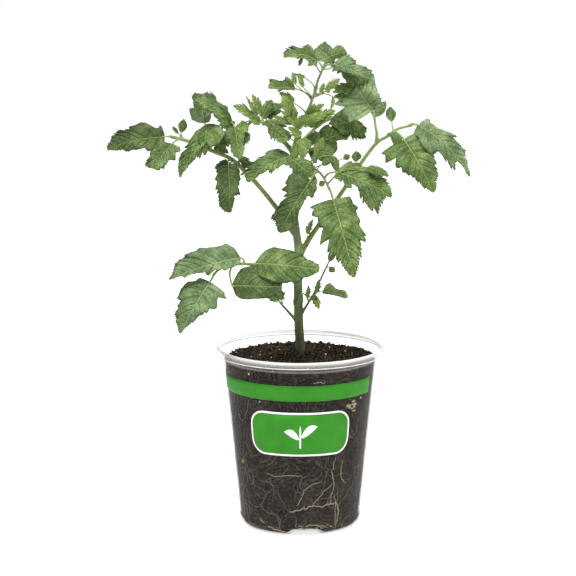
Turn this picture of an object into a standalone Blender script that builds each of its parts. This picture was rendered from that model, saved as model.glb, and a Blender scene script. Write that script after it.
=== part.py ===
"""Young tomato plant growing in a clear round nursery pot.

Metres, +Z up. The origin is the middle of the pot's flat base, on the surface
that it stands on. The viewer's side of the plant is -Y. Lengths in the tables
below are millimetres, and MM turns them into metres.
"""
import math

import bmesh
import bpy
from mathutils import Vector

MM = 0.001

# ---- driving dimensions, mm -------------------------------------------------
POT_WALL = 0.8
POT_SEGMENTS = 48
BASE_FLAT_RADIUS = 33.0
BASE_CORNER_RADIUS = 5.6
WALL_FOOT_RADIUS = 38.0
WALL_FOOT_HEIGHT = 5.6
WALL_TOP_RADIUS = 47.9
WALL_TOP_HEIGHT = 104.0
RIM_RADIUS = 54.0
RIM_HEIGHT = 115.3

PAD_COUNT = 4
PAD_TURN = -84.8            # degrees, the pad nearest the viewer
PAD_HEIGHT = 3.8
PAD_TOP_HALF_WIDTH = 6.85
PAD_SIDE_SLOPE = 1.2
PAD_INNER_RADIUS = 24.0
PAD_OUTER_RADIUS = 46.0
DRAIN_RADIUS = 3.0
DRAIN_PLACE = 30.0

SEAT_GAP = 0.35             # between pieces that touch
SEAT_STEP = 0.05
FACET_INSET = 0.9           # a faceted end face lies this far inside its round outline
SOIL_EDGE_HEIGHT = 107.4
SOIL_MOUND = 4.2
SOIL_MOUND_REACH = 15.0
STEM_POCKET_RADIUS = 3.6
STEM_POCKET_FLOOR = 69.0

BLADE_EDGE = 0.25           # half thickness of a leaf blade at its margin
BLADE_MIDRIB = 0.45         # half thickness at its midrib
PETIOLULE_RADIUS = 0.6
FORWARD_LEAN = 0.6          # mm that a petiolule leans along its stalk, for each mm out
BLADE_ARCH = 0.1            # rise of the midrib's middle, for each mm of length
LOWEST_PLACE = 0.02         # nearest to its root that a stalk carries a leaflet

# ---- stalks -----------------------------------------------------------------
# name: (host, first radius, last radius, route)
# A route is a list of points chosen by hand, with a smooth curve through them.
# Its first point is on the axis of the stem or stalk that it grows from.
STEM_ROUTE = [
    (0, 0, 70), (0, 0, 90), (0, 0, 110), (-1.5, 0, 130), (-2, 0, 159), (-1, 0, 174),
    (-2.5, 0, 189), (-3.5, 1, 200), (-3, 1, 217), (-3, 2, 230), (-2.5, 2, 242), (-2, 2, 254),
]
STEM_RADII = [3.0, 3.0, 3.05, 3.0, 2.9, 2.8, 2.5, 2.3, 2.1, 2.0, 1.7, 1.3]

STALKS = {
    "top_leaf_stalk": ("main_stem", 1.2, 0.6, [
        (-2, 2, 254), (1, 3.5, 257.5), (4.5, 6, 263), (8, 9, 271.5), (11, 12, 281.5),
        (14, 14.5, 288.5), (17, 17, 296)]),
    "left_leaf_stalk": ("main_stem", 1.7, 1.1, [
        (-3, 0.5, 187), (-8, 1.5, 192.5), (-15, 4, 202.5), (-24, 7, 213.5), (-33, 9.5, 223), (-43, 12.5, 232),
        (-54.5, 16, 236.5), (-64.5, 19, 240.5), (-72.5, 21.5, 243), (-82, 24, 245)]),
    "left_leaf_branch": ("left_leaf_stalk", 0.8, 0.6, [
        (-50.5, 15, 235.5), (-51.5, 14, 242.5), (-50.5, 13, 249), (-47, 11.5, 254), (-42, 8.5, 256.5)]),
    "right_leaf_stalk": ("main_stem", 1.8, 0.8, [
        (-1, 0, 172), (7, 1, 185), (12, 1.5, 192), (19, 1.5, 202.5), (26, 1, 212.5),
        (32, 2, 221.5), (40, 3, 233.5), (48, 4, 243.5), (55.5, 5.5, 248), (61.5, 7.5, 252),
        (70.5, 9.5, 254)]),
    "right_leaf_branch": ("right_leaf_stalk", 0.9, 0.7, [
        (48, 4, 243.5), (48, 5, 249.5), (47, 6.5, 255.5), (46.5, 7.5, 260.5)]),
    "front_leaf_stalk": ("main_stem", 1.3, 0.9, [
        (-3, 2, 231), (1, -4, 232.5), (5, -11, 232), (9, -17, 230), (12.5, -23, 228),
        (15.5, -29, 224), (18, -34, 219)]),
    "back_leaf_stalk": ("main_stem", 1.1, 0.8, [
        (-2.5, 2, 240), (2, 12, 244.5), (9, 26, 249.5), (15.5, 36, 253), (20.5, 42, 254.5)]),
    "side_shoot_stalk": ("main_stem", 1.5, 0.9, [
        (-3, 2.5, 236), (-9, 4.5, 243), (-15, 6.5, 249.5), (-20, 8, 254), (-25, 9, 256.5), (-30, 9.5, 256.5),
        (-34, 9, 253)]),
    "low_left_leaf_stalk": ("main_stem", 1.4, 0.8, [
        (-2, 0, 155), (-8, -10, 162), (-14, -18, 167), (-22, -25, 170), (-30, -28.5, 172),
        (-39, -31, 172.5), (-48, -34, 171), (-54, -38, 167)]),
    "low_right_shoot_stalk": ("main_stem", 0.8, 0.45, [
        (-1.5, 0, 130), (3, -2, 139), (8, -3.5, 147.5), (12.5, -3, 157), (16.5, -2, 165.5), (20, -2, 173)]),
    "low_left_shoot_stalk": ("main_stem", 0.8, 0.6, [
        (-1.5, 0, 130), (-8, -4, 138), (-13, -8, 144.5)]),
}

# ---- leaflets ---------------------------------------------------------------
# What grows from each stalk: (name, base of the blade, tip, width, way that the upper
# face looks, form). The name gets "_leaflet" after it.
LEAFLETS = {
    "left_leaf_stalk": [
        ("left_tip", (-86, 24, 245), (-123, 24, 237), 20, (0, -0.6, 0.8), "lobed"),
        ("left_outer", (-81, 20, 241), (-91, 10, 227.5), 15, (-0.3, -0.8, 0.5), "lobed"),
        ("left_oval", (-75.5, 23.5, 247.5), (-73.5, 23.5, 256.5), 6, (0.2, -0.9, 0), "oval"),
        ("left_back", (-57.5, 20, 241.5), (-66.5, 28, 232.5), 11, (0, -0.8, 0.5), "toothed"),
        ("left_hanging", (-45, 9, 230), (-44, 1, 199.5), 14, (0, -0.9, 0.25), "lobed"),
    ],
    "left_leaf_branch": [
        ("left_large", (-52.5, 9.5, 254), (-75.5, 0, 222), 20, (-0.6, -0.7, 0.4), "lobed"),
        ("left_upright", (-60.5, 18, 254.5), (-62.5, 24.5, 272.5), 16, (-0.2, 0.9, -0.2), "toothed"),
        ("left_upper", (-46, 11, 261), (-66.5, 9, 270.5), 16, (0.3, -0.6, 0.8), "lobed"),
        ("left_inner", (-41, 3.5, 254), (-38, -4.5, 234), 11, (0.1, -0.9, 0.4), "toothed"),
    ],
    "side_shoot_stalk": [
        ("shoot_left", (-29, 6.5, 259.5), (-42, 4.5, 267), 9, (0.3, -0.7, 0.6), "young"),
        ("shoot_upright", (-24, 9, 261), (-30, 12, 273.5), 7, (0, -0.9, 0.2), "young"),
        ("shoot_right", (-20, 4, 258), (-9, -7, 245), 11, (0.5, -0.6, 0.6), "toothed"),
        ("shoot_back", (-21, 12, 258.5), (-12, 18.5, 266.5), 10, (0.3, -0.5, 0.8), "toothed"),
    ],
    "main_stem": [
        ("crown_left", (-6, -3.5, 236.5), (-33, -19, 222), 21, (-0.4, -0.6, 0.7), "lobed"),
        ("crown_bright", (-5, -2, 259), (-11, -7, 275), 9, (0.2, -0.9, 0.2), "toothed"),
        ("crown_front", (-2, -4, 254), (2, -11, 263), 8, (0.1, -0.9, 0.4), "young"),
        ("crown_right", (4, 0, 256), (21, 0, 265), 9, (-0.2, -0.8, 0.5), "young"),
        ("back_low", (6, 1, 240), (20, -6, 234), 11, (0.2, -0.7, 0.6), "toothed"),
    ],
    "front_leaf_stalk": [
        ("front_tip", (20, -37.5, 214), (33, -49, 167), 29, (0.15, -0.95, 0.3), "lobed"),
        ("front_left", (6.5, -23.5, 224), (-13, -31, 192), 24, (-0.2, -0.9, 0.4), "lobed"),
        ("front_right", (22, -31, 230), (56, -42, 216), 21, (0.1, -0.7, 0.7), "lobed"),
        ("front_upper", (10, -13, 238), (14, -19, 250), 9, (0.2, -0.9, 0.4), "young"),
    ],
    "right_leaf_stalk": [
        ("right_tip", (74.5, 10, 254), (107, 3.5, 222), 27, (0.3, -0.65, 0.7), "lobed"),
        ("right_outer", (65, 2.5, 246), (83.5, -7, 213.5), 24, (0.1, -0.9, 0.4), "lobed"),
        ("right_oval", (57.5, 9.5, 256), (56.5, 13.5, 265.5), 6, (0.1, -0.9, 0), "oval"),
        ("right_round", (35, -1, 232), (35, -3, 239.5), 6, (0.2, -0.9, 0.2), "oval"),
        ("right_lower", (37.5, -8, 223), (45, -16, 203), 11, (0.3, -0.8, 0.4), "toothed"),
        ("axil", (4.5, -4.5, 187), (8, -7, 197), 5, (-0.2, -0.9, 0.2), "young"),
    ],
    "right_leaf_branch": [
        ("right_large", (45.5, 9, 263.5), (32.5, 28, 280.5), 27, (-0.5, -0.7, 0.6), "lobed"),
    ],
    "top_leaf_stalk": [
        ("top_tip", (18, 18.5, 299), (24, 28, 304.5), 17, (0.3, -0.6, 0.7), "toothed"),
        ("top_left", (7, 13.5, 294), (-12, 8, 296), 14, (-0.2, -0.6, 0.8), "lobed"),
        ("top_right", (21.5, 12, 292), (45, -2.5, 283.5), 15, (0.2, -0.6, 0.8), "lobed"),
        ("top_under", (22, 17.5, 289.5), (43, 24, 282.5), 12, (0.2, -0.4, 0.9), "lobed"),
        ("upper_left", (-3, 7, 277.5), (-20, -1, 278.5), 11, (-0.1, -0.7, 0.7), "lobed"),
        ("upper_right", (16, 8.5, 275.5), (25, 7.5, 283.5), 7, (-0.2, -0.8, 0.4), "young"),
        ("upper_small", (-4, 6, 268.5), (-13, 3.5, 275.5), 7, (0.2, -0.8, 0.4), "young"),
    ],
    "back_leaf_stalk": [
        ("back_tip", (23.5, 40, 255), (43.5, 32, 242), 17, (0.2, -0.6, 0.8), "lobed"),
        ("back_dark", (14.5, 30, 245), (37.5, 34, 242), 15, (0.1, -0.8, 0.5), "lobed"),
    ],
    "low_left_leaf_stalk": [
        ("low_right", (-28, -34, 173.5), (12, -44, 171), 24, (0, -0.65, 0.8), "plain"),
        ("low_middle", (-42, -35.5, 160), (-11, -43, 160.5), 20, (0, -0.83, 0.55), "plain"),
        ("low_upper", (-37, -33, 177), (-81, -43, 165), 21, (0, -0.6, 0.8), "lobed"),
        ("low_tip", (-55.5, -40.5, 163), (-74, -48, 132), 27, (-0.2, -0.85, 0.45), "lobed"),
    ],
    "low_left_shoot_stalk": [
        ("low_shoot_left", (-15, -9.5, 146.5), (-22, -14, 149), 6, (0, -0.7, 0.7), "young"),
    ],
    "low_right_shoot_stalk": [
        ("low_shoot_right", (14, -6.5, 151), (30, -12, 148), 9, (0.1, -0.8, 0.6), "toothed"),
    ],
}

# Half widths along a blade from base to tip, as (place, share of the half width).
OUTLINES = {
    "lobed": [(0.0, 0.14), (0.05, 0.52), (0.12, 0.88), (0.22, 1.0), (0.31, 0.66), (0.41, 0.84), (0.53, 0.74),
              (0.66, 0.62), (0.79, 0.42), (0.91, 0.2), (1.0, 0.04)],
    "toothed": [(0.0, 0.14), (0.07, 0.6), (0.2, 0.98), (0.38, 0.9), (0.55, 0.8), (0.72, 0.55), (0.88, 0.28),
                (1.0, 0.05)],
    "plain": [(0.0, 0.14), (0.08, 0.62), (0.2, 0.9), (0.36, 1.0), (0.54, 0.96), (0.72, 0.76), (0.88, 0.42),
              (1.0, 0.06)],
    "oval": [(0.0, 0.2), (0.18, 0.8), (0.42, 1.0), (0.7, 0.8), (0.9, 0.42), (1.0, 0.12)],
    "young": [(0.0, 0.2), (0.12, 0.75), (0.3, 1.0), (0.5, 0.7), (0.75, 0.4), (1.0, 0.08)],
}

# ---- colours: name: (red, green, blue, roughness) ---------------------------
COLOURS = {
    "clear_pet": (0.78, 0.80, 0.80, 0.15),
    "peat_mix": (0.035, 0.024, 0.017, 0.95),
    "stem_green": (0.16, 0.19, 0.07, 0.6),
    "stalk_green": (0.17, 0.26, 0.07, 0.6),
    "leaf_green": (0.09, 0.19, 0.06, 0.6),
    "young_leaf_green": (0.17, 0.30, 0.06, 0.6),
}


def clear_scene():
    for item in list(bpy.data.objects):
        bpy.data.objects.remove(item, do_unlink=True)


def finish_material(piece, colour_name):
    red, green, blue, roughness = COLOURS[colour_name]
    material = bpy.data.materials.new(piece.name + "_" + colour_name)
    material.use_nodes = True
    shader = material.node_tree.nodes["Principled BSDF"]
    shader.inputs["Base Color"].default_value = (red, green, blue, 1.0)
    shader.inputs["Roughness"].default_value = roughness
    shader.inputs["Metallic"].default_value = 0.0
    piece.data.materials.append(material)


def add_mesh(name, mesh_builder):
    mesh = bpy.data.meshes.new(name)
    mesh_builder.normal_update()
    mesh_builder.to_mesh(mesh)
    mesh_builder.free()
    piece = bpy.data.objects.new(name, mesh)
    bpy.context.collection.objects.link(piece)
    return piece


def smooth_route(points, steps):
    """Points along a smooth curve (Catmull-Rom) that passes through `points`."""
    ends = [points[0] * 2 - points[1]] + list(points) + [points[-1] * 2 - points[-2]]
    route = []
    for index in range(1, len(ends) - 2):
        before, start, end, after = ends[index - 1:index + 3]
        for step in range(steps):
            t = step / steps
            route.append(0.5 * (2 * start + (end - before) * t
                                + (2 * before - 5 * start + 4 * end - after) * t * t
                                + (3 * start - before - 3 * end + after) * t ** 3))
    route.append(points[-1].copy())
    return route


def point_at(route, place):
    """The point at a share, from 0 to 1, of a route's length."""
    left = place * route_length(route)
    for start, end in zip(route, route[1:]):
        length = (end - start).length
        if left <= length:
            return start + (end - start) * (left / length)
        left -= length
    return route[-1].copy()


def route_length(route):
    return sum((end - start).length for start, end in zip(route, route[1:]))


# ---- pot --------------------------------------------------------------------
def corner_arc(centre_radius, centre_height, radius, first, last, steps=5):
    points = []
    for step in range(steps + 1):
        angle = math.radians(first + (last - first) * step / steps)
        points.append((centre_radius + radius * math.cos(angle), centre_height + radius * math.sin(angle)))
    return points


def pot_outer_profile():
    profile = [(0.0, 0.0)]
    profile += corner_arc(BASE_FLAT_RADIUS, BASE_CORNER_RADIUS, BASE_CORNER_RADIUS, -90, -6)
    profile += [(WALL_TOP_RADIUS, WALL_TOP_HEIGHT), (48.3, 107.6), (49.4, 108.6), (49.6, 112.7)]
    profile += [(50.4, 114.2), (52.2, 114.2), (53.2, 112.9), (53.2, 110.6), (RIM_RADIUS, 110.6)]
    profile += [(RIM_RADIUS, 113.4), (53.0, 114.9), (51.6, RIM_HEIGHT), (50.0, RIM_HEIGHT)]
    profile += [(0.0, RIM_HEIGHT)]
    return profile


def pot_inner_profile(shrink, top):
    """The inside of the wall, moved in by `shrink`; `top` ends it above or at the soil."""
    floor = POT_WALL + shrink
    radius = BASE_CORNER_RADIUS - floor
    profile = [(0.0, floor)]
    profile += corner_arc(BASE_FLAT_RADIUS, BASE_CORNER_RADIUS, radius, -90, -6)
    profile += [(WALL_TOP_RADIUS - floor, WALL_TOP_HEIGHT), (48.3 - floor, SOIL_EDGE_HEIGHT)]
    return profile + top


def turned(name, profile):
    """A solid turned from a profile that starts and ends on the axis."""
    builder = bmesh.new()
    rings = []
    for radius, height in profile:
        if radius == 0.0:
            rings.append([builder.verts.new((0, 0, height * MM))])
            continue
        ring = []
        for step in range(POT_SEGMENTS):
            angle = 2 * math.pi * step / POT_SEGMENTS
            place = (radius * MM * math.cos(angle), radius * MM * math.sin(angle), height * MM)
            ring.append(builder.verts.new(place))
        rings.append(ring)
    for lower, upper in zip(rings, rings[1:]):
        for step in range(POT_SEGMENTS):
            following = (step + 1) % POT_SEGMENTS
            if len(lower) == 1:
                builder.faces.new((lower[0], upper[following], upper[step]))
            elif len(upper) == 1:
                builder.faces.new((lower[step], lower[following], upper[0]))
            else:
                builder.faces.new((lower[step], lower[following], upper[following], upper[step]))
    bmesh.ops.recalc_face_normals(builder, faces=builder.faces[:])
    return add_mesh(name, builder)


def pad_cutter(name, offset):
    """Four wedges under the base, made larger by `offset` on every face."""
    side = math.hypot(1.0, PAD_SIDE_SLOPE)
    top = PAD_HEIGHT + offset
    builder = bmesh.new()
    for index in range(PAD_COUNT):
        turn = math.radians(PAD_TURN + 360.0 / PAD_COUNT * index)
        outward = Vector((math.cos(turn), math.sin(turn), 0))
        across = Vector((-math.sin(turn), math.cos(turn), 0))
        corners = []
        for height in (-2.0, top):
            half = PAD_TOP_HALF_WIDTH + PAD_SIDE_SLOPE * (PAD_HEIGHT - height) + offset * side
            inner = PAD_INNER_RADIUS - (PAD_HEIGHT - height) - offset * math.sqrt(2)
            for distance, share in ((inner, -1), (PAD_OUTER_RADIUS, -1), (PAD_OUTER_RADIUS, 1), (inner, 1)):
                place = outward * distance + across * half * share + Vector((0, 0, height))
                corners.append(builder.verts.new(place * MM))
        low, high = corners[:4], corners[4:]
        builder.faces.new(low[::-1])
        builder.faces.new(high)
        for step in range(4):
            following = (step + 1) % 4
            builder.faces.new((low[step], low[following], high[following], high[step]))
    bmesh.ops.recalc_face_normals(builder, faces=builder.faces[:])
    return hide_cutter(add_mesh(name, builder))


def drain_cutter():
    builder = bmesh.new()
    for index in range(PAD_COUNT):
        turn = math.radians(PAD_TURN + 360.0 / PAD_COUNT * index)
        made = bmesh.ops.create_cone(builder, cap_ends=True, segments=12, radius1=DRAIN_RADIUS * MM,
                                     radius2=DRAIN_RADIUS * MM, depth=4.0 * MM)
        place = Vector((DRAIN_PLACE * math.cos(turn), DRAIN_PLACE * math.sin(turn), PAD_HEIGHT)) * MM
        bmesh.ops.translate(builder, verts=made["verts"], vec=place)
    return hide_cutter(add_mesh("drain_cutter", builder))


def hide_cutter(cutter):
    cutter.hide_render = True
    cutter.display_type = "WIRE"
    return cutter


def cut(piece, cutter):
    modifier = piece.modifiers.new("cut_" + cutter.name, "BOOLEAN")
    modifier.operation = "DIFFERENCE"
    modifier.solver = "EXACT"
    modifier.object = cutter


def make_pot():
    pot = turned("pot", pot_outer_profile())
    above = [(48.7, 108.8), (48.8, 113.9), (49.5, RIM_HEIGHT), (49.5, RIM_HEIGHT + 5), (0.0, RIM_HEIGHT + 5)]
    cavity = hide_cutter(turned("cavity_cutter", pot_inner_profile(0.0, above)))
    cut(cavity, pad_cutter("inner_pad_cutter", POT_WALL))
    cut(pot, pad_cutter("outer_pad_cutter", 0.0))
    cut(pot, cavity)
    cut(pot, drain_cutter())
    finish_material(pot, "clear_pet")


# ---- soil -------------------------------------------------------------------
def soil_height(radius):
    return SOIL_EDGE_HEIGHT + SOIL_MOUND * math.exp(-(radius / SOIL_MOUND_REACH) ** 2)


def make_soil():
    top = [(radius, soil_height(radius)) for radius in (40.0, 32.0, 25.0, 19.0, 14.0, 10.0, 6.5)]
    top.append((0.0, soil_height(3.0)))
    soil = turned("potting_mix", pot_inner_profile(SEAT_GAP, top))
    cut(soil, pad_cutter("soil_pad_cutter", POT_WALL + SEAT_GAP))
    builder = bmesh.new()
    height = 60.0
    made = bmesh.ops.create_cone(builder, cap_ends=True, segments=24, radius1=STEM_POCKET_RADIUS * MM,
                                 radius2=STEM_POCKET_RADIUS * MM, depth=height * MM)
    bmesh.ops.translate(builder, verts=made["verts"], vec=(0, 0, (STEM_POCKET_FLOOR + height / 2) * MM))
    cut(soil, hide_cutter(add_mesh("stem_pocket_cutter", builder)))
    finish_material(soil, "peat_mix")


# ---- stem and stalks --------------------------------------------------------
def add_tube(name, route, radii, resolution):
    curve = bpy.data.curves.new(name, "CURVE")
    curve.dimensions = "3D"
    curve.bevel_depth = MM
    curve.bevel_resolution = resolution
    curve.use_fill_caps = True
    spline = curve.splines.new("POLY")
    spline.points.add(len(route) - 1)
    for point, place, radius in zip(spline.points, route, radii):
        point.co = (place.x * MM, place.y * MM, place.z * MM, 1.0)
        point.radius = radius
    piece = bpy.data.objects.new(name, curve)
    bpy.context.collection.objects.link(piece)
    return piece


def spread(values, count):
    """`count` values read evenly along a short list, in straight runs."""
    result = []
    for index in range(count):
        place = index / (count - 1) * (len(values) - 1)
        low = min(int(place), len(values) - 2)
        result.append(values[low] + (values[low + 1] - values[low]) * (place - low))
    return result


def distance_outside(host, point):
    """How far a point lies outside a stalk, whose end is cut off flat."""
    route, radii = host
    beyond = (point - route[-1]).dot((route[-1] - route[-2]).normalized())
    if beyond > 0.0:
        beside = math.sqrt(max(0.0, (point - route[-1]).length_squared - beyond ** 2)) - radii[-1]
        return beyond if beside < 0.0 else math.hypot(beyond, beside)
    best = None
    for start, end, first, last in zip(route, route[1:], radii, radii[1:]):
        step = end - start
        share = min(1.0, max(0.0, (point - start).dot(step) / step.length_squared))
        distance = (start + step * share - point).length - (first + (last - first) * share)
        best = distance if best is None else min(best, distance)
    return best


def clear_of_host(host, joint, direction, radius):
    """Where a branch starts, so that the whole of its end face stays SEAT_GAP from its host."""
    side = direction.orthogonal().normalized() * radius * FACET_INSET
    up = direction.cross(side)
    diagonal = math.sqrt(0.5)
    corners = [side, up, (side + up) * diagonal, (side - up) * diagonal]
    corners += [-corner for corner in corners]
    start = joint.copy()
    while min(distance_outside(host, start + corner) for corner in corners) < SEAT_GAP:
        start += direction * SEAT_STEP
    return start


def make_stalks():
    """The stem and every stalk; returns each one's axis and radii for what grows on it."""
    axes = {}
    route = smooth_route([Vector(point) for point in STEM_ROUTE], 2)
    radii = spread(STEM_RADII, len(route))
    finish_material(add_tube("main_stem", route, radii, 3), "stem_green")
    axes["main_stem"] = (route, radii)
    for name, (host_name, first, last, points) in STALKS.items():
        host = axes[host_name]
        points = [Vector(point) for point in points]
        joint = point_at(host[0], nearest_place(host[0], points[0]))
        points[0] = clear_of_host(host, joint, (points[1] - joint).normalized(), first)
        route = smooth_route(points, 2)
        radii = spread([first, last], len(route))
        finish_material(add_tube(name, route, radii, 1), "stalk_green")
        axes[name] = (route, radii)
    return axes


def nearest_place(route, target):
    """Share of the route's length at its point nearest to `target`."""
    total = route_length(route)
    best, best_place, walked = None, 0.0, 0.0
    for start, end in zip(route, route[1:]):
        step = end - start
        share = min(1.0, max(0.0, (target - start).dot(step) / step.length_squared))
        distance = (start + step * share - target).length
        if best is None or distance < best:
            best, best_place = distance, (walked + share * step.length) / total
        walked += step.length
    return best_place


# ---- leaflets ---------------------------------------------------------------
def blade_ring(centre, side, up, half_width):
    """Six points round a leaflet: a thin strip, thicker along its midrib."""
    edge = min(BLADE_EDGE, half_width)
    middle = BLADE_MIDRIB
    left = centre - side * half_width
    right = centre + side * half_width
    return [left + up * edge, centre + up * middle, right + up * edge,
            right - up * edge, centre - up * middle, left - up * edge]


def make_leaflet(name, host, base, tip, width, face, form):
    base, tip, face = Vector(base), Vector(tip), Vector(face).normalized()
    nearest = nearest_place(host[0], base)
    reach = (point_at(host[0], nearest) - base).length
    joint = point_at(host[0], max(LOWEST_PLACE, nearest - FORWARD_LEAN * reach / route_length(host[0])))
    start = clear_of_host(host, joint, (base - joint).normalized(), PETIOLULE_RADIUS)
    blade = tip - base
    arch = BLADE_ARCH * blade.length
    lift = (face - blade.normalized() * face.dot(blade.normalized())).normalized()
    centres, widths = [start], [PETIOLULE_RADIUS]
    for share, half in OUTLINES[form]:
        centres.append(base + blade * share + lift * arch * 4 * share * (1 - share))
        widths.append(max(half * width / 2, BLADE_EDGE))
    builder = bmesh.new()
    ring_face = None
    for index, (centre, half_width) in enumerate(zip(centres, widths)):
        after = centres[min(index + 1, len(centres) - 1)]
        before = centres[max(index - 1, 0)]
        along = (after - before).normalized()
        side = along.cross(face).normalized()
        up = side.cross(along).normalized()
        ring = [point * MM for point in blade_ring(centre, side, up, half_width)]
        if ring_face is None:
            first = [builder.verts.new(point) for point in ring]
            ring_face = builder.faces.new(first)
            continue
        ring_face = bmesh.ops.extrude_discrete_faces(builder, faces=[ring_face])["faces"][0]
        for vertex, point in zip(ring_face.verts, ring):
            vertex.co = point
    builder.faces.new(first[::-1])
    bmesh.ops.recalc_face_normals(builder, faces=builder.faces[:])
    piece = add_mesh(name, builder)
    finish_material(piece, "young_leaf_green" if form == "young" else "leaf_green")


def main():
    clear_scene()
    make_pot()
    make_soil()
    axes = make_stalks()
    for host_name, leaflets in LEAFLETS.items():
        for name, base, tip, width, face, form in leaflets:
            make_leaflet(name + "_leaflet", axes[host_name], base, tip, width, face, form)


main()
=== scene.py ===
"""Young tomato plant in a clear nursery pot: the finished look over its measured frame.

Metres, +Z up, the viewer's side is -Y. The plan tables are in millimetres.
"""
import math
import random
import bmesh
import bpy
import numpy as np
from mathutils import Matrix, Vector, noise
from mathutils.kdtree import KDTree


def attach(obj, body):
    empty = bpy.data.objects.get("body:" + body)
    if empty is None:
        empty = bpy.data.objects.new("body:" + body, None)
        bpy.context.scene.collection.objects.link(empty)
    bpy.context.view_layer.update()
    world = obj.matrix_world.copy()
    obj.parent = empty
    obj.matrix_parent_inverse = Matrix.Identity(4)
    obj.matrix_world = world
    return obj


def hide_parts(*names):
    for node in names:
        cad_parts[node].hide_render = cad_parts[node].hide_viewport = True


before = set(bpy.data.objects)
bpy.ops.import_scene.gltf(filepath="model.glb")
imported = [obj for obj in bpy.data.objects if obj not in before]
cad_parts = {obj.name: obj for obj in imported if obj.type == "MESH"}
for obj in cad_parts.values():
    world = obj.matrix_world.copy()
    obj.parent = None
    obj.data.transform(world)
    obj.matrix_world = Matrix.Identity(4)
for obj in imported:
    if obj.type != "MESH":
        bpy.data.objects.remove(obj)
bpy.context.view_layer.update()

bl_info = {
    "name": "Tomato Plant in a Clear Pot",
    "version": (1, 0, 0),
    "blender": (4, 2, 0),
    "location": "View3D > Sidebar > Tomato Plant",
    "description": "A young tomato plant with a clear nursery pot, peat mix, roots and toothed leaves",
    "category": "Add Mesh",
}

MM = 0.001

# ---- plan, mm: the same routes and places as the measured frame ----------------
STEM_ROUTE = [
    (0, 0, 70), (0, 0, 90), (0.4, 0, 110), (-0.8, 0, 130), (-1.3, 0, 159), (-0.9, 0, 174),
    (-2.5, 0, 189), (-3.5, 1, 200), (-3, 1, 217), (-3, 2, 230), (-2.5, 2, 242), (-2, 2, 254),
]
STEM_RADII = [3.0, 3.0, 3.1, 3.0, 2.9, 2.8, 2.5, 2.3, 2.1, 2.0, 1.7, 1.3]

# name: (first radius, last radius, route, colour at its foot, colour at its end)
STALKS = {
    "top_leaf_stalk": (1.2, 0.6, [
        (-2, 2, 254), (1, 3.5, 257.5), (4.5, 6, 263), (8, 9, 271.5), (11, 12, 281.5),
        (14, 14.5, 288.5), (17, 17, 296)], "#6f8050", "#748a54"),
    "left_leaf_stalk": (1.7, 1.1, [
        (-3, 0.5, 187), (-8, 1.5, 192.5), (-15, 4, 202.5), (-24, 7, 213.5), (-33, 9.5, 223),
        (-43, 12.5, 232), (-54.5, 16, 236.5), (-64.5, 19, 240.5), (-72.5, 21.5, 243),
        (-82, 24, 245)], "#68763f", "#86a05c"),
    "left_leaf_branch": (0.8, 0.6, [
        (-50.5, 15, 235.5), (-51.5, 14, 242.5), (-50.5, 13, 249), (-47, 11.5, 254), (-42, 8.5, 256.5)],
        "#84906a", "#8b8f60"),
    "right_leaf_stalk": (1.8, 0.8, [
        (-1, 0, 172), (7, 1, 185), (12, 1.5, 192), (19, 1.5, 202.5), (26, 1, 212.5),
        (32, 2, 221.5), (40, 3, 233.5), (48, 4, 243.5), (55.5, 5.5, 248), (61.5, 7.5, 252),
        (70.5, 9.5, 254)], "#6f7f45", "#86a058"),
    "right_leaf_branch": (0.9, 0.7, [
        (48, 4, 243.5), (48, 5, 249.5), (47, 6.5, 255.5), (46.5, 7.5, 260.5)], "#7d9353", "#829d55"),
    "front_leaf_stalk": (1.0, 0.75, [
        (-3, 2, 231), (1, -4, 232.5), (5, -11, 232), (9, -17, 230), (12.5, -23, 228),
        (15.5, -29, 224), (18, -34, 219)], "#6c6f4c", "#63733f"),
    "back_leaf_stalk": (1.1, 0.8, [
        (-2.5, 2, 240), (2, 12, 244.5), (9, 26, 249.5), (15.5, 36, 253), (20.5, 42, 254.5)],
        "#86934f", "#7f9a50"),
    "side_shoot_stalk": (1.5, 0.9, [
        (-3, 2.5, 236), (-9, 4.5, 243), (-15, 6.5, 249.5), (-20, 8, 254), (-25, 9, 256.5), (-30, 9.5, 256.5),
        (-34, 9, 253)], "#8a9a5c", "#8f9f6a"),
    "low_left_leaf_stalk": (1.4, 0.8, [
        (-2, 0, 155), (-8, -10, 162), (-14, -18, 167), (-22, -25, 170), (-30, -28.5, 172),
        (-39, -31, 172.5), (-48, -34, 171), (-54, -38, 167)], "#6c8350", "#a3b56c"),
    "low_right_shoot_stalk": (0.95, 0.55, [
        (-1.5, 0, 130), (3, -2, 139), (8, -3.5, 147.5), (12.5, -3, 157), (16.5, -2, 165.5), (20, -2, 173)],
        "#5d6c3e", "#6b6a42"),
    "low_left_shoot_stalk": (0.95, 0.7, [
        (-1.5, 0, 130), (-8, -4, 138), (-13, -8, 144.5)], "#59683a", "#6c8046"),
}

FORWARD = (0.1, -0.9, 0.35)     # an upper face that looks at the viewer, a little up and to the right

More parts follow.
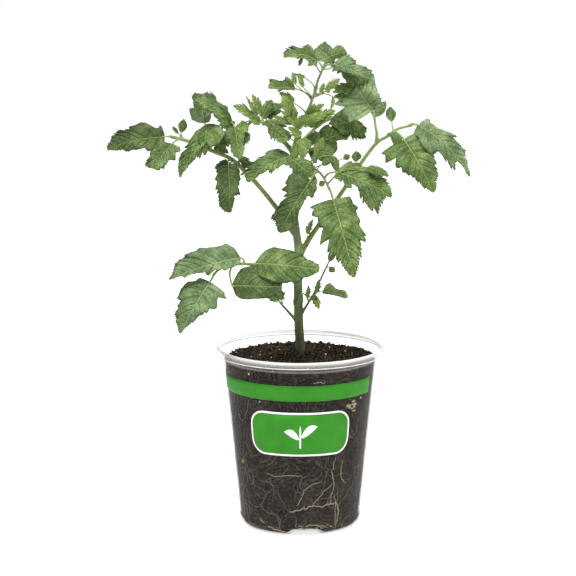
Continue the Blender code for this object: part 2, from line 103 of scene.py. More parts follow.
# What grows from each stalk: (name, base of the blade, tip, width, way that the upper face looks,
# form, what differs from the form's own shape). The name gets "_leaflet" after it. Of what differs,
# "wide" is the width drawn as a share of the plain one, "ease" is the share of the midrib over which the
# veins come to their full lean, "quilt" is the strength of the puckers, "skin" names the leaf skin, and
# the rest are as in FORMS. The pale and deep skins are partly the leaves' own tone and partly painted
# light and painted shade; the brightest skin is painted light on a leaf that lies in shade.
LEAFLETS = {
    "left_leaf_stalk": [
        ("left_tip", (-86, 24, 245), (-123, 24, 237), 21, (0, -0.8, 0.6), "lobed",
         {"arch": 0.13, "curl": 0.4, "fold": 3, "skin": "deep", "depth": 0.12, "wide": 1.18}),
        ("left_outer", (-81, 20, 241), (-92, 10, 226), 15, (-0.3, -0.8, 0.5), "lobed",
         {"curl": 0.5, "ease": 0.45}),
        ("left_oval", (-75.5, 23.5, 247.5), (-73.5, 23.5, 256.5), 6, (0.2, -0.9, 0), "oval", {}),
        ("left_back", (-57.5, 20, 241.5), (-66.5, 28, 232.5), 11, (0, -0.8, 0.5), "toothed", {}),
        ("left_hanging", (-45, 9, 230), (-44, 1, 199.5), 15, (0, -0.9, 0.25), "lobed",
         {"arch": 0.1, "fold": 8, "wide": 1.15, "ease": 0.45, "skin": "deep"}),
    ],
    "left_leaf_branch": [
        ("left_large", (-52.5, 9.5, 254), (-75.5, 0, 222), 22, (-0.6, -0.7, 0.4), "lobed",
         {"arch": 0.1, "wide": 1.2}),
        ("left_upright", (-60.5, 18, 254.5), (-62.5, 24.5, 272.5), 16, (-0.2, 0.9, -0.2), "toothed", {}),
        ("left_upper", (-46, 11, 261), (-66.5, 9, 270.5), 16, (0.3, -0.6, 0.8), "lobed", {}),
        ("left_inner", (-41, 3.5, 254), (-38, -4.5, 234), 12, (0.1, -0.9, 0.4), "toothed",
         {"arch": 0.12, "wide": 1.15}),
    ],
    "side_shoot_stalk": [
        ("shoot_left", (-29, 6.5, 259.5), (-42, 4.5, 267), 9, (0.3, -0.7, 0.6), "young", {}),
        ("shoot_upright", (-24, 9, 261), (-30, 12, 273.5), 7, (0, -0.9, 0.2), "young", {}),
        ("shoot_right", (-20, 4, 258), (-9, -7, 245), 17, (0.3, -0.8, 0.5), "toothed",
         {"fold": 2, "curl": 0.35}),
        ("shoot_back", (-21, 12, 258.5), (-12, 18.5, 266.5), 10, (0.3, -0.5, 0.8), "toothed", {}),
    ],
    "main_stem": [
        ("crown_left", (-6, -3.5, 236.5), (-33, -19, 222), 22, (-0.4, -0.75, 0.55), "lobed",
         {"arch": 0.15, "fold": 4, "curl": 0.5, "wide": 1.15}),
        ("crown_bright", (-5, -2, 259), (-11, -7, 275), 10, (0.2, -0.9, 0.2), "toothed", {"young": 1}),
        ("crown_front", (-2, -4, 254), (2, -11, 263), 8, (0.1, -0.9, 0.4), "young", {}),
        ("crown_right", (4, 0, 256), (21, 0, 265), 9, (-0.2, -0.8, 0.5), "young", {}),
        ("back_low", (6, 1, 240), (20, -6, 234), 12, (0.2, -0.8, 0.6), "toothed", {"fold": 2, "curl": 0.4}),
    ],
    "front_leaf_stalk": [
        ("front_tip", (20, -37.5, 214), (33, -49, 167), 29, (0.15, -0.95, 0.3), "lobed",
         {"arch": 0.06, "ease": 0.45, "wide": 1.2}),
        ("front_left", (6.5, -23.5, 224), (-13, -31, 192), 24, (-0.2, -0.9, 0.4), "lobed",
         {"arch": 0.1, "skin": "deep", "wide": 1.1}),
        ("front_right", (22, -31, 230), (56, -42, 216), 21, (0.1, -0.8, 0.6), "lobed",
         {"arch": 0.13, "fold": 4, "curl": 0.5, "wide": 1.2}),
        ("front_upper", (10, -13, 238), (14, -19, 250), 9, (0.2, -0.9, 0.4), "young", {}),
    ],
    "right_leaf_stalk": [
        ("right_tip", (74.5, 10, 254), (107, 3.5, 222), 27, (0.3, -0.65, 0.7), "lobed",
         {"arch": 0.15, "skin": "pale", "wide": 1.2}),
        ("right_outer", (65, 2.5, 246), (83.5, -7, 213.5), 25, (0.1, -0.9, 0.4), "lobed",
         {"arch": 0.12, "ease": 0.45, "wide": 1.2}),
        ("right_oval", (57.5, 9.5, 256), (56.5, 13.5, 265.5), 6.5, (0.1, -0.9, 0), "oval", {}),
        ("right_round", (35, -1, 232), (35, -3, 239.5), 6.5, (0.2, -0.9, 0.2), "oval", {}),
        ("right_lower", (37.5, -8, 223), (45, -16, 203), 12, (0.3, -0.8, 0.4), "toothed", {}),
        ("axil", (4.5, -4.5, 187), (8, -7, 197), 5, (-0.2, -0.9, 0.2), "young", {}),
    ],
    "right_leaf_branch": [
        # This leaf's brightest skin is painted light, for a leaf that lies in the shade of those above it.
        ("right_large", (45.5, 9, 263.5), (32.5, 28, 280.5), 28, (-0.25, -0.8, 0.6), "lobed",
         {"arch": 0.04, "fold": 2, "curl": 0.3, "ease": 0.45, "skin": "dusty"}),
    ],
    "top_leaf_stalk": [
        ("top_tip", (18.8, 18.5, 295.4), (10.7, 24, 301.9), 16, (0.1, -0.85, 0.5), "toothed",
         {"arch": 0.05, "fold": 2, "curl": 0.35, "skin": "pale"}),
        ("top_left", (10.6, 12, 294.1), (-10.7, 7, 297.1), 14, (-0.1, -0.8, 0.6), "lobed",
         {"arch": 0.34, "fold": 0, "curl": 0.4}),
        ("top_right", (21.5, 12, 292), (45, -2.5, 283.5), 16, (0.1, -0.9, 0.45), "lobed",
         {"arch": 0.1, "fold": 0, "curl": 0.4, "skin": "pale"}),
        ("top_under", (25.7, 17, 291.8), (40.3, 20, 280.2), 17, (0.1, -0.9, 0.3), "lobed",
         {"fold": 0, "curl": 0.3, "skin": "deep"}),
        ("upper_left", (-3, 7, 277.5), (-20, -1, 278.5), 11, (-0.1, -0.92, 0.4), "lobed",
         {"arch": 0.16, "fold": 0, "curl": 0.4}),
        ("upper_right", (16, 8.5, 275.5), (25, 7.5, 283.5), 7, (-0.2, -0.8, 0.4), "young", {}),
        ("upper_small", (-4, 6, 268.5), (-13, 3.5, 275.5), 7, (0.2, -0.8, 0.4), "young", {}),
    ],
    "back_leaf_stalk": [
        ("back_tip", (21.2, 36, 256.2), (42.1, 28, 243.7), 19, (0.1, -0.72, 0.7), "lobed",
         {"arch": 0.14, "fold": 2, "curl": 0.4, "skin": "leaf"}),
        ("back_dark", (11.5, 28, 240.5), (36.4, 32, 248.9), 17, (0.0, -0.85, 0.5), "lobed",
         {"fold": 0, "curl": 0.4}),
    ],
    "low_left_leaf_stalk": [
        ("low_right", (-28, -34, 173.5), (12, -44, 171), 24, (0, -0.9, 0.45), "plain",
         {"arch": 0.12, "fold": 0, "curl": 0.45, "skin": "leaf"}),
        ("low_middle", (-42, -35.5, 160), (-11, -43, 160.5), 22, (0, -0.95, 0.3), "plain",
         {"arch": 0.04, "fold": 0, "curl": 0.4, "skin": "deep"}),
        ("low_upper", (-37, -33, 177), (-81, -43, 165), 21, (0, -0.85, 0.55), "lobed",
         {"arch": 0.12, "fold": 2, "curl": 0.45, "skin": "pale", "depth": 0.1, "wide": 1.15, "ease": 0.45,
          "quilt": 0.6}),
        ("low_tip", (-55.5, -40.5, 163), (-74, -48, 132), 27, (-0.2, -0.85, 0.45), "lobed",
         {"arch": 0.1, "depth": 0.16, "ease": 0.45, "wide": 1.2, "skin": "pale", "quilt": 0.8}),
    ],
    "low_left_shoot_stalk": [
        ("low_shoot_left", (-15, -9.5, 146.5), (-22, -14, 149), 6, (0, -0.7, 0.7), "young", {}),
    ],
    "low_right_shoot_stalk": [
        ("low_shoot_right", (14, -6.5, 151), (30, -12, 148), 9, (0.1, -0.9, 0.45), "toothed",
         {"fold": 0, "curl": 0.4}),
    ],
}

# Small leaves and buds that are too small for the measured frame: the same columns, host first.
SMALL_LEAVES = [
    ("top_leaf_stalk", "upper_sliver", (3, 9, 284), (-5, 7, 287), 3, (0, -0.9, 0.3), "young", {}),
    ("top_leaf_stalk", "upper_bud", (9, 9, 274), (11, 8, 282), 3, (0.1, -0.9, 0.2), "young", {}),
    ("top_leaf_stalk", "upper_hook", (21, 8, 272), (19, 5, 264), 3, (0.4, -0.8, 0.2), "young", {}),
    ("top_leaf_stalk", "upper_mid", (13, 9, 273.5), (15, 8, 281), 4, (-0.3, -0.8, 0.2), "young", {}),
    ("top_leaf_stalk", "crown_side", (7, 5, 262), (15, 4, 268), 6, (-0.1, -0.8, 0.4), "young", {}),
    ("top_leaf_stalk", "crown_twin", (5, 4, 260), (9, -1, 269), 6, (0.1, -0.9, 0.3), "young", {}),
    ("main_stem", "crown_low", (-6, -2, 247), (-13, -6, 253), 6, (0, -0.9, 0.3), "young", {}),
    ("main_stem", "crown_inner", (1, -3, 247), (7, -6, 241), 6, (0.2, -0.9, 0.3), "young", {}),
    ("main_stem", "crown_sprig", (-5, 0, 256), (-17, -1, 261), 6, (0.1, -0.9, 0.3), "young", {}),
    ("main_stem", "crown_tuft", (-3, -2, 258), (-4, -5, 268), 5, (0.2, -0.9, 0.2), "young", {}),
    ("front_leaf_stalk", "front_inner", (8, -14, 226), (9, -18, 217), 5, (0.1, -0.9, 0.3), "young", {}),
    ("front_leaf_stalk", "front_spur", (13, -22, 233), (20, -25, 238), 5, (0.1, -0.9, 0.3), "oval", {}),
    ("left_leaf_stalk", "left_inner_back", (-38, 14, 233), (-30, 12, 226), 8, (0.1, -0.8, 0.5), "toothed",
     {}),
    ("left_leaf_stalk", "left_bud", (-77, 22.5, 247), (-81, 22, 252), 2.5, (0, -0.9, 0.2), "oval", {}),
    ("left_leaf_branch", "left_shaded", (-45, 9, 248), (-52, 4, 238), 11, (-0.2, -0.9, 0.4), "toothed", {}),
    ("side_shoot_stalk", "shoot_end", (-33, 7, 250), (-36, 3, 242), 7, (0, -0.9, 0.3), "toothed", {}),
    ("side_shoot_stalk", "shoot_spike", (-27, 7, 260), (-34, 6, 273), 4, (0.2, -0.9, 0.2), "young", {}),
    ("side_shoot_stalk", "shoot_inner", (-25, 5, 256), (-32, 0, 260), 8, (0, -0.8, 0.5), "young", {}),
    ("back_leaf_stalk", "back_upright", (9, 24, 251), (12, 24, 262), 9, (0, -0.9, 0.3), "toothed", {}),
    ("right_leaf_stalk", "right_spur", (56, 4, 250), (63, 2, 243), 9, (0.2, -0.8, 0.4), "toothed", {}),
    ("right_leaf_branch", "right_wing", (46.9, 8, 259.4), (53.8, 9, 269.3), 7, (0.2, -0.9, 0.3), "oval",
     {"young": 0, "skin": "pale"}),
    ("low_right_shoot_stalk", "low_shoot_front", (8, -5, 148), (12, -9, 140), 6, (0.1, -0.9, 0.3), "young",
     {}),
    ("low_right_shoot_stalk", "low_shoot_knob", (18, -3.5, 166), (22, -5, 163), 4.5, (0.1, -0.8, 0.5),
     "oval", {}),
    ("low_right_shoot_stalk", "low_shoot_top", (20, -3, 174), (20, -4, 180), 4, (0.1, -0.9, 0.3), "oval",
     {}),
    ("top_leaf_stalk", "upper_spike", (-3.2, 3, 280.6), (-4.8, 3, 288.1), 4, FORWARD, "young", {}),
    ("top_leaf_stalk", "upper_second", (1.8, 3, 278.7), (-1.1, 3, 286.9), 4, FORWARD, "young", {}),
    ("top_leaf_stalk", "top_fork", (20.6, 14, 290.2), (18.7, 15, 297.6), 4.5, FORWARD, "toothed", {}),
    ("top_leaf_stalk", "top_drop", (1.1, 10, 296.2), (-0.7, 9, 291.3), 3, FORWARD, "toothed", {}),
    ("right_leaf_branch", "right_lobe_high", (34.1, 24, 274.7), (21.4, 22, 276.2), 9, FORWARD, "toothed",
     {}),
    ("right_leaf_branch", "right_lobe_low", (36.6, 22, 266.0), (24.9, 20, 269.4), 8, FORWARD, "toothed", {}),
    ("main_stem", "crown_pair_left", (-0.1, -4, 256.4), (-8.2, -7, 260.5), 7, FORWARD, "young", {}),
    ("main_stem", "crown_pair_right", (1.7, -4, 255.1), (7.9, -5, 262.8), 7, FORWARD, "young", {}),
    ("main_stem", "crown_edge", (0.5, -5, 249.0), (-7.6, -8, 255.0), 6, FORWARD, "young", {}),
    ("top_leaf_stalk", "crown_fan", (4.9, 2, 254.4), (13.6, 2, 263.2), 8, FORWARD, "young", {}),
    ("top_leaf_stalk", "crown_wide", (8.6, 0, 255.9), (22.3, 0, 264.7), 9, FORWARD, "young", {}),
    ("main_stem", "crown_screen", (-0.1, -6, 246.6), (1.7, -10, 234.6), 8, FORWARD, "young", {}),
    ("main_stem", "crown_shade", (-2.0, -5, 245.2), (-4.5, -9, 235.7), 7, FORWARD, "toothed", {"young": 1}),
    ("front_leaf_stalk", "crown_skirt", (-4.5, -12, 234.9), (7.3, -18, 225.1), 15, (0.1, -0.9, 0.4),
     "toothed", {"fold": 0, "curl": 0.4}),
    ("front_leaf_stalk", "crown_cross", (7.4, -2, 239.8), (21.1, -6, 237.9), 13, (0.1, -0.9, 0.4), "toothed",
     {"fold": 0, "curl": 0.4}),
    ("back_leaf_stalk", "crown_cover", (11.2, 8, 249.9), (4.9, 4, 241.6), 8, (0.1, -0.9, 0.4), "toothed",
     {}),
    ("front_leaf_stalk", "front_strap", (20.4, -10, 237.1), (23.5, -12, 226.1), 6, FORWARD, "toothed", {}),
    ("front_leaf_stalk", "front_knob", (26.6, -10, 235.2), (30.9, -10, 237.7), 4, FORWARD, "oval", {}),
    ("front_leaf_stalk", "front_drop", (15.1, -29, 224.1), (11.5, -29, 221.0), 4, FORWARD, "oval", {}),
    ("left_leaf_branch", "left_crest", (-53.5, 12, 262.1), (-61.0, 14, 273.8), 12, (0, -0.85, 0.5),
     "toothed", {}),
    ("left_leaf_branch", "left_fill", (-42.8, 10, 252.2), (-51.5, 8, 262.5), 12, (0, -0.85, 0.5), "toothed",
     {}),
    ("side_shoot_stalk", "shoot_fill", (-33.9, 6, 256.5), (-40.1, 2, 248.1), 9, (0, -0.85, 0.5), "toothed",
     {"young": 1}),
    ("side_shoot_stalk", "shoot_far", (-23.9, 8, 258.8), (-17.6, 10, 269.9), 9, (0, -0.85, 0.5), "toothed",
     {}),
    ("low_right_shoot_stalk", "low_shoot_shield", (0.6, -8, 150.1), (-2.9, -9, 140.7), 7, FORWARD, "toothed",
     {"skin": "deep", "fold": 0, "curl": 0.3}),
    ("low_right_shoot_stalk", "low_shoot_side", (5.0, -7, 146.7), (5.3, -8, 155.2), 4, FORWARD, "young",
     {"young": 0}),
    ("low_right_shoot_stalk", "low_shoot_mid", (10.7, -5, 149.6), (11.9, -6, 158.7), 4.5, FORWARD, "young",
     {"young": 0}),
    ("low_right_shoot_stalk", "low_shoot_fork", (6.9, -6, 145.9), (11.0, -7, 147.4), 4, FORWARD, "young",
     {"young": 0}),
    ("low_right_shoot_stalk", "low_shoot_high", (18.2, -3, 169.0), (21.9, -4, 177.5), 5, FORWARD, "oval",
     {}),
    ("low_left_shoot_stalk", "low_left_fork", (-12.6, -12, 147.0), (-19.5, -14, 149.0), 7, FORWARD,
     "toothed", {}),
    ("low_left_shoot_stalk", "low_left_spur", (-11.4, -12, 146.4), (-11.7, -13, 152.7), 5, FORWARD, "young",
     {"young": 0}),
    ("left_leaf_stalk", "left_large_lobe", (-59.0, 6, 250.8), (-60.8, 2, 237.4), 9, FORWARD, "toothed",
     {"fold": 0}),
    ("left_leaf_stalk", "left_stalk_wing", (-54.3, 15, 239.6), (-44.8, 12, 236.1), 6, (0.1, -0.8, 0.5),
     "toothed", {}),
    ("left_leaf_stalk", "left_hang_lobe", (-45.4, 12, 231.1), (-53.9, 10, 226.3), 6, (0.1, -0.8, 0.5),
     "toothed", {}),
    ("front_leaf_stalk", "front_right_lobe", (41.2, -37, 233.9), (53.9, -41, 228.9), 9, (0.1, -0.7, 0.7),
     "toothed", {"fold": 0}),
    ("top_leaf_stalk", "top_shoulder", (19.4, 18, 296.7), (29.2, 22, 299.5), 12, (0.1, -0.85, 0.5),
     "toothed", {"fold": 0}),
    ("main_stem", "stem_bud", (1, -3, 178), (6, -5, 182), 4, (0.3, -0.8, 0.3), "young", {}),
]

# Lobes and cuts of the larger blades, where they differ from the form's own: (place on the midrib that
# the vein leaves from, half width there), both as shares, first for the side right of the midrib, then
# for the left one, seen from above with the tip ahead. None takes the form's own outline.
OUTLINES = {
    "front_tip": (
        [(0, 0.8), (0.1, 0.95), (0.21, 0.72), (0.31, 0.9), (0.36, 0.5), (0.41, 0.77), (0.48, 0.52),
         (0.65, 0.35), (0.85, 0.2), (1, 0.02)],
        [(0, 0.3), (0.04, 0.55), (0.08, 0.72), (0.11, 0.66), (0.14, 0.87), (0.2, 0.72), (0.36, 0.85),
         (0.43, 0.55),
         (0.6, 0.4), (0.8, 0.23), (1, 0.02)]),
    "front_left": (
        [(0, 0.7), (0.1, 1.3), (0.21, 1.4), (0.25, 1), (0.32, 1.3), (0.39, 0.85), (0.6, 0.65),
         (0.75, 0.38), (1, 0.02)],
        [(0, 0.24), (0.07, 0.45), (0.2, 0.6), (0.29, 0.33), (0.4, 0.34), (0.47, 0.6), (0.65, 0.45),
         (0.8, 0.28),
         (1, 0.02)]),
    "front_right": (
        [(0, 0.3), (0.14, 0.45), (0.18, 0.26), (0.21, 0.75), (0.28, 0.38), (0.36, 0.53), (0.43, 0.4),
         (0.46, 1.3),
         (0.57, 1), (0.71, 0.55), (0.86, 0.17), (1, 0.03)],
        [(0, 0.3), (0.1, 0.95), (0.25, 0.87), (0.39, 0.82), (0.57, 0.6), (0.75, 0.43), (0.9, 0.18),
         (1, 0.03)]),
    "right_tip": (
        [(0, 0.4), (0.11, 0.6), (0.25, 0.88), (0.36, 0.68), (0.42, 0.55), (0.5, 0.61), (0.57, 0.43),
         (0.62, 0.2),
         (0.8, 0.04), (0.87, 0.13), (1, 0.02)],
        [(0, 0.7), (0.04, 0.9), (0.08, 0.53), (0.22, 0.46), (0.32, 0.66), (0.4, 0.6), (0.57, 0.4),
         (0.79, 0.17),
         (1, 0.02)]),
    "right_outer": (
        [(0, 1.15), (0.14, 1.33), (0.18, 0.77), (0.21, 0.97), (0.3, 0.8), (0.45, 0.48), (0.7, 0.32),
         (0.86, 0.15),
         (1, 0.02)],
        [(0, 0.5), (0.1, 0.95), (0.3, 0.77), (0.43, 0.6), (0.64, 0.4), (0.82, 0.24), (1, 0.03)]),
    "crown_left": (
        [(0, 0.4), (0.1, 1), (0.32, 1.02), (0.46, 0.89), (0.57, 0.6), (0.61, 0.55), (0.65, 0.74),
         (0.75, 0.5),
         (0.86, 0.25), (1, 0.03)],
        [(0, 0.4), (0.08, 0.9), (0.18, 0.55), (0.43, 0.5), (0.48, 0.3), (0.68, 0.19), (0.8, 0.25),
         (1, 0.02)]),
    "left_tip": (
        [(0, 0.7), (0.04, 0.87), (0.1, 0.52), (0.15, 0.55), (0.21, 1), (0.43, 0.95), (0.57, 0.72),
         (0.75, 0.42),
         (0.9, 0.2), (1, 0.03)],
        [(0, 0.2), (0.08, 0.9), (0.25, 0.73), (0.32, 0.7), (0.36, 0.52), (0.45, 0.54), (0.57, 0.38),
         (0.75, 0.28),
         (0.9, 0.12), (1, 0.03)]),
    "left_outer": (
        [(0, 0.4), (0.1, 1.1), (0.35, 1.1), (0.55, 0.95), (0.72, 0.8), (0.86, 0.55), (1, 0.06)],
        [(0, 0.4), (0.1, 1.05), (0.2, 0.8), (0.27, 1.2), (0.34, 0.75), (0.46, 0.8), (0.64, 0.55),
         (0.82, 0.36),
         (1, 0.06)]),
    "left_hanging": (
        [(0, 0.5), (0.08, 0.85), (0.21, 1.2), (0.25, 1), (0.31, 1.13), (0.46, 0.84), (0.57, 0.87),
         (0.75, 0.58),
         (0.86, 0.36), (1, 0.03)],
        [(0, 0.4), (0.1, 0.8), (0.23, 0.87), (0.36, 0.67), (0.4, 0.84), (0.5, 0.49), (0.54, 0.34),
         (0.61, 0.38),
         (0.79, 0.22), (0.93, 0.13), (1, 0.03)]),
    "left_large": (
        [(0, 0.4), (0.1, 1), (0.35, 0.8), (0.62, 0.5), (0.86, 0.22), (1, 0.03)],
        [(0, 0.4), (0.1, 1), (0.35, 0.78), (0.4, 0.5), (0.44, 0.3), (0.57, 0.31), (0.71, 0.2), (0.86, 0.11),
         (1, 0.02)]),
    "left_upright": (
        [(0, 0.4), (0.1, 1), (0.32, 1.1), (0.39, 1.18), (0.46, 0.89), (0.61, 0.65), (0.75, 0.53),
         (0.93, 0.53),
         (1, 0.03)],
        None),
    "left_inner": (
        [(0, 0.4), (0.1, 1), (0.32, 0.98), (0.39, 0.75), (0.5, 0.68), (0.54, 0.59), (0.68, 0.55), (0.8, 0.3),
         (1, 0.02)],
        [(0, 0.4), (0.1, 0.8), (0.18, 0.6), (0.27, 0.93), (0.32, 0.75), (0.43, 0.68), (0.57, 0.53),
         (0.75, 0.36),
         (1, 0.02)]),
    "low_right": (
        [(0, 0.3), (0.07, 0.65), (0.25, 0.86), (0.46, 0.76), (0.57, 0.52), (0.71, 0.39), (0.86, 0.2),
         (1, 0.03)],
        [(0, 0.26), (0.07, 0.7), (0.14, 0.97), (0.25, 0.89), (0.46, 0.68), (0.6, 0.44), (0.71, 0.4),
         (0.86, 0.28),
         (0.96, 0.1), (1, 0.03)]),
    "low_middle": (
        [(0, 0.36), (0.11, 0.7), (0.29, 0.69), (0.5, 0.58), (0.71, 0.42), (0.89, 0.22), (1, 0.03)],
        [(0, 0.5), (0.07, 0.92), (0.21, 1.1), (0.36, 1.02), (0.54, 0.8), (0.71, 0.52), (0.89, 0.28),
         (1, 0.03)]),
    "low_upper": (
        [(0, 0.35), (0.11, 1), (0.14, 0.94), (0.29, 1.15), (0.43, 1), (0.57, 0.78), (0.68, 0.64),
         (0.79, 0.36),
         (0.93, 0.12), (1, 0.03)],
        [(0, 0.25), (0.18, 0.5), (0.21, 0.55), (0.25, 0.43), (0.32, 0.4), (0.36, 0.58), (0.43, 0.35),
         (0.61, 0.2),
         (0.71, 0.26), (0.79, 0.1), (1, 0.03)]),
    "low_tip": (
        [(0, 0.34), (0.11, 0.64), (0.15, 0.97), (0.21, 0.87), (0.25, 0.94), (0.32, 0.84), (0.36, 0.7),
         (0.57, 0.45),
         (0.79, 0.24), (0.93, 0.1), (1, 0.02)],
        [(0, 0.4), (0.1, 1), (0.14, 0.63), (0.21, 0.83), (0.29, 0.64), (0.43, 0.37), (0.64, 0.23),
         (0.86, 0.08),
         (1, 0.02)]),
    "low_shoot_right": (
        [(0, 0.3), (0.11, 0.35), (0.5, 0.25), (0.8, 0.3), (1, 0.03)],
        [(0, 0.55), (0.04, 1.3), (0.12, 1.55), (0.3, 1.35), (0.45, 0.85), (0.6, 0.7), (0.75, 0.48),
         (0.9, 0.27),
         (1, 0.03)]),
    "top_left": (
        [(0, 1.6), (0.04, 1.9), (0.12, 1.8), (0.3, 1.35), (0.5, 0.95), (0.7, 0.62), (0.86, 0.38), (1, 0.03)],
        [(0, 0.5), (0.07, 0.65), (0.18, 0.7), (0.25, 0.9), (0.31, 0.5), (0.5, 0.35), (0.8, 0.18),
         (1, 0.03)]),
    "top_right": (
        [(0, 0.5), (0.07, 0.5), (0.29, 0.36), (0.5, 0.25), (0.75, 0.12), (1, 0.03)],
        [(0, 1.7), (0.1, 1.1), (0.14, 1.3), (0.25, 1.13), (0.32, 0.9), (0.52, 0.61), (0.57, 0.7),
         (0.71, 0.48),
         (0.82, 0.3), (0.9, 0.06), (1, 0.03)]),
    "upper_left": (
        [(0, 0.8), (0.07, 1.7), (0.11, 1.5), (0.18, 1.83), (0.29, 1.26), (0.43, 1.1), (0.57, 0.9),
         (0.71, 0.57),
         (0.86, 0.32), (1, 0.03)],
        [(0, 0.2), (0.25, 0.28), (0.43, 0.35), (0.5, 0.55), (0.6, 0.2), (0.8, 0.14), (1, 0.03)]),
    "back_tip": (
        None,
        [(0, 0.4), (0.1, 1), (0.5, 0.62), (0.71, 0.42), (0.82, 0.18), (1, 0.03)]),
    "back_dark": (
        [(0, 0.4), (0.1, 1), (0.32, 1.04), (0.39, 0.7), (0.5, 0.47), (0.68, 0.24), (0.86, 0.09), (1, 0.03)],
        None),
    "back_low": (
        [(0, 0.4), (0.11, 0.5), (0.18, 0.86), (0.29, 1.25), (0.36, 1.16), (0.43, 0.86), (0.61, 0.66),
         (0.75, 0.41),
         (0.86, 0.27), (0.93, 0.06), (1, 0.03)],
        None),
    "right_large": (
        [(0, 0.5), (0.29, 0.62), (0.42, 0.88), (0.54, 0.7), (0.64, 0.7), (0.75, 0.55), (0.89, 0.3),
         (1, 0.03)],
        [(0, 0.5), (0.12, 1.08), (0.18, 1), (0.25, 1.15), (0.29, 0.95), (0.36, 1.15), (0.43, 0.9), (0.5, 1),
         (0.57, 0.8), (0.61, 0.9), (0.75, 0.66), (0.86, 0.42), (1, 0.03)]),
}

# Each form of blade: lateral veins on a side, how deep the margin is cut between them, how pointed the
# lobes are, the rise of the midrib as a share of its length, the fold along it in degrees, the roll of
# the margins in radians, and whether it is a young leaf.
FORMS = {
    name: dict(zip(("veins", "depth", "point", "arch", "fold", "curl", "young"), values))
    for name, *values in (
        ("lobed", 8.4, 0.25, 1.9, 0.12, 10, 0.75, 0),
        ("toothed", 6.2, 0.27, 1.8, 0.12, 12, 0.7, 0),
        ("plain", 6.4, 0.05, 2.0, 0.12, 4, 0.7, 0),
        ("oval", 4.0, 0.02, 2.0, 0.08, 5, 0.3, 0),
        ("young", 4.6, 0.42, 1.6, 0.1, 10, 0.3, 1))}


# ---- small helpers ---------------------------------------------------------------
def linear(code):
    """An sRGB hex colour as the linear RGBA that shaders take."""
    values = [int(code[i:i + 2], 16) / 255 for i in (1, 3, 5)]
    return tuple(v / 12.92 if v <= 0.04045 else ((v + 0.055) / 1.055) ** 2.4 for v in values) + (1.0,)


def add_node(tree, kind, settings=None, links=None, stops=()):
    """Adds a node. Settings name its options; links name its inputs, each a value or a socket.

    Stops are (place, colour) along a colour ramp, each colour a hex code, a linear RGBA or a grey level.
    """
    node = tree.nodes.new("ShaderNode" + kind)
    for name, value in (settings or {}).items():
        setattr(node, name, value)
    for name, value in (links or {}).items():
        socket = node.inputs[name]
        if isinstance(value, bpy.types.NodeSocket):
            tree.links.new(value, socket)
        else:
            socket.default_value = value
    for index, (place, colour) in enumerate(stops):
        elements = node.color_ramp.elements
        element = elements[index] if index < len(elements) else elements.new(place)
        element.position = place
        if isinstance(colour, str):
            element.color = linear(colour)
        else:
            element.color = (colour,) * 3 + (1.0,) if isinstance(colour, float) else colour
    return node


def new_material(name):
    """An empty material with its output, and the tree that it is drawn in."""
    material = bpy.data.materials.new(name)
    material.use_nodes = True
    tree = material.node_tree
    tree.nodes.clear()
    return material, tree, add_node(tree, "OutputMaterial")


def deselect():
    if bpy.context.object and bpy.context.object.mode != "OBJECT":
        bpy.ops.object.mode_set(mode="OBJECT")
    bpy.ops.object.select_all(action="DESELECT")


def use_only(*objects):
    deselect()
    for item in objects:
        item.select_set(True)
    bpy.context.view_layer.objects.active = objects[0]


def apply_modifiers(piece):
    use_only(piece)
    for modifier in list(piece.modifiers):
        bpy.ops.object.modifier_apply(modifier=modifier.name)


def smooth(piece):
    use_only(piece)
    bpy.ops.object.shade_smooth()


def read_points(mesh):
    flat = np.empty(len(mesh.vertices) * 3, dtype=np.float64)
    mesh.vertices.foreach_get("co", flat)
    return flat.reshape(-1, 3)


def write_points(mesh, points):
    mesh.vertices.foreach_set("co", np.ascontiguousarray(points, dtype=np.float64).ravel())
    mesh.update()


def mesh_piece(name, points, faces):
    mesh = bpy.data.meshes.new(name)
    mesh.from_pydata([tuple(p) for p in points], [], [tuple(f) for f in faces])
    mesh.update()
    piece = bpy.data.objects.new(name, mesh)
    bpy.context.scene.collection.objects.link(piece)
    return piece


def smooth_route(points, steps=6):
    """Points in mm along a smooth curve (Catmull-Rom) through the route, as Vectors."""
    points = [Vector(p) for p in points]
    ends = [points[0] * 2 - points[1]] + points + [points[-1] * 2 - points[-2]]
    route = []
    for i in range(1, len(ends) - 2):
        a, b, c, d = ends[i - 1:i + 3]
        for step in range(steps):
            t = step / steps
            route.append(0.5 * (2 * b + (c - a) * t + (2 * a - 5 * b + 4 * c - d) * t * t
                                + (3 * b - a - 3 * c + d) * t ** 3))
    route.append(points[-1].copy())
    return route


# ---- pot shape -------------------------------------------------------------------
FOOT = (38.0, 5.6)              # outer radius and height where the wall starts
SHOULDER = (47.9, 104.0)        # the same where the wall ends, under the rim
BASE_FLAT = 33.0                # radius of the flat base
SOIL_EDGE = 107.4               # height of the mix at the wall
PAD_TURN = -84.8                # degrees, the drainage pad nearest the viewer
PAD_TOP = 3.8
PAD_HALF_WIDTH = 6.85
PAD_SLOPE = 1.2
PAD_INNER = 24.0
LOW = 6.0                       # the underside and its rounded corner lie below this height
BEAD_RADIUS = 53.3              # to the middle of the bead on the rim's free edge
BEAD_HEIGHT = 110.75
BED_GAP = 0.7                   # the mix lies this far inside the wall's outside
BED_FLOOR = 0.95
HOLE = 1.5                      # radius of the small hole that a lathed piece has at its axis


def wall_radius(z):
    """Outer radius of the wall at a height, mm."""
    return FOOT[0] + (SHOULDER[0] - FOOT[0]) * (z - FOOT[1]) / (SHOULDER[1] - FOOT[1])


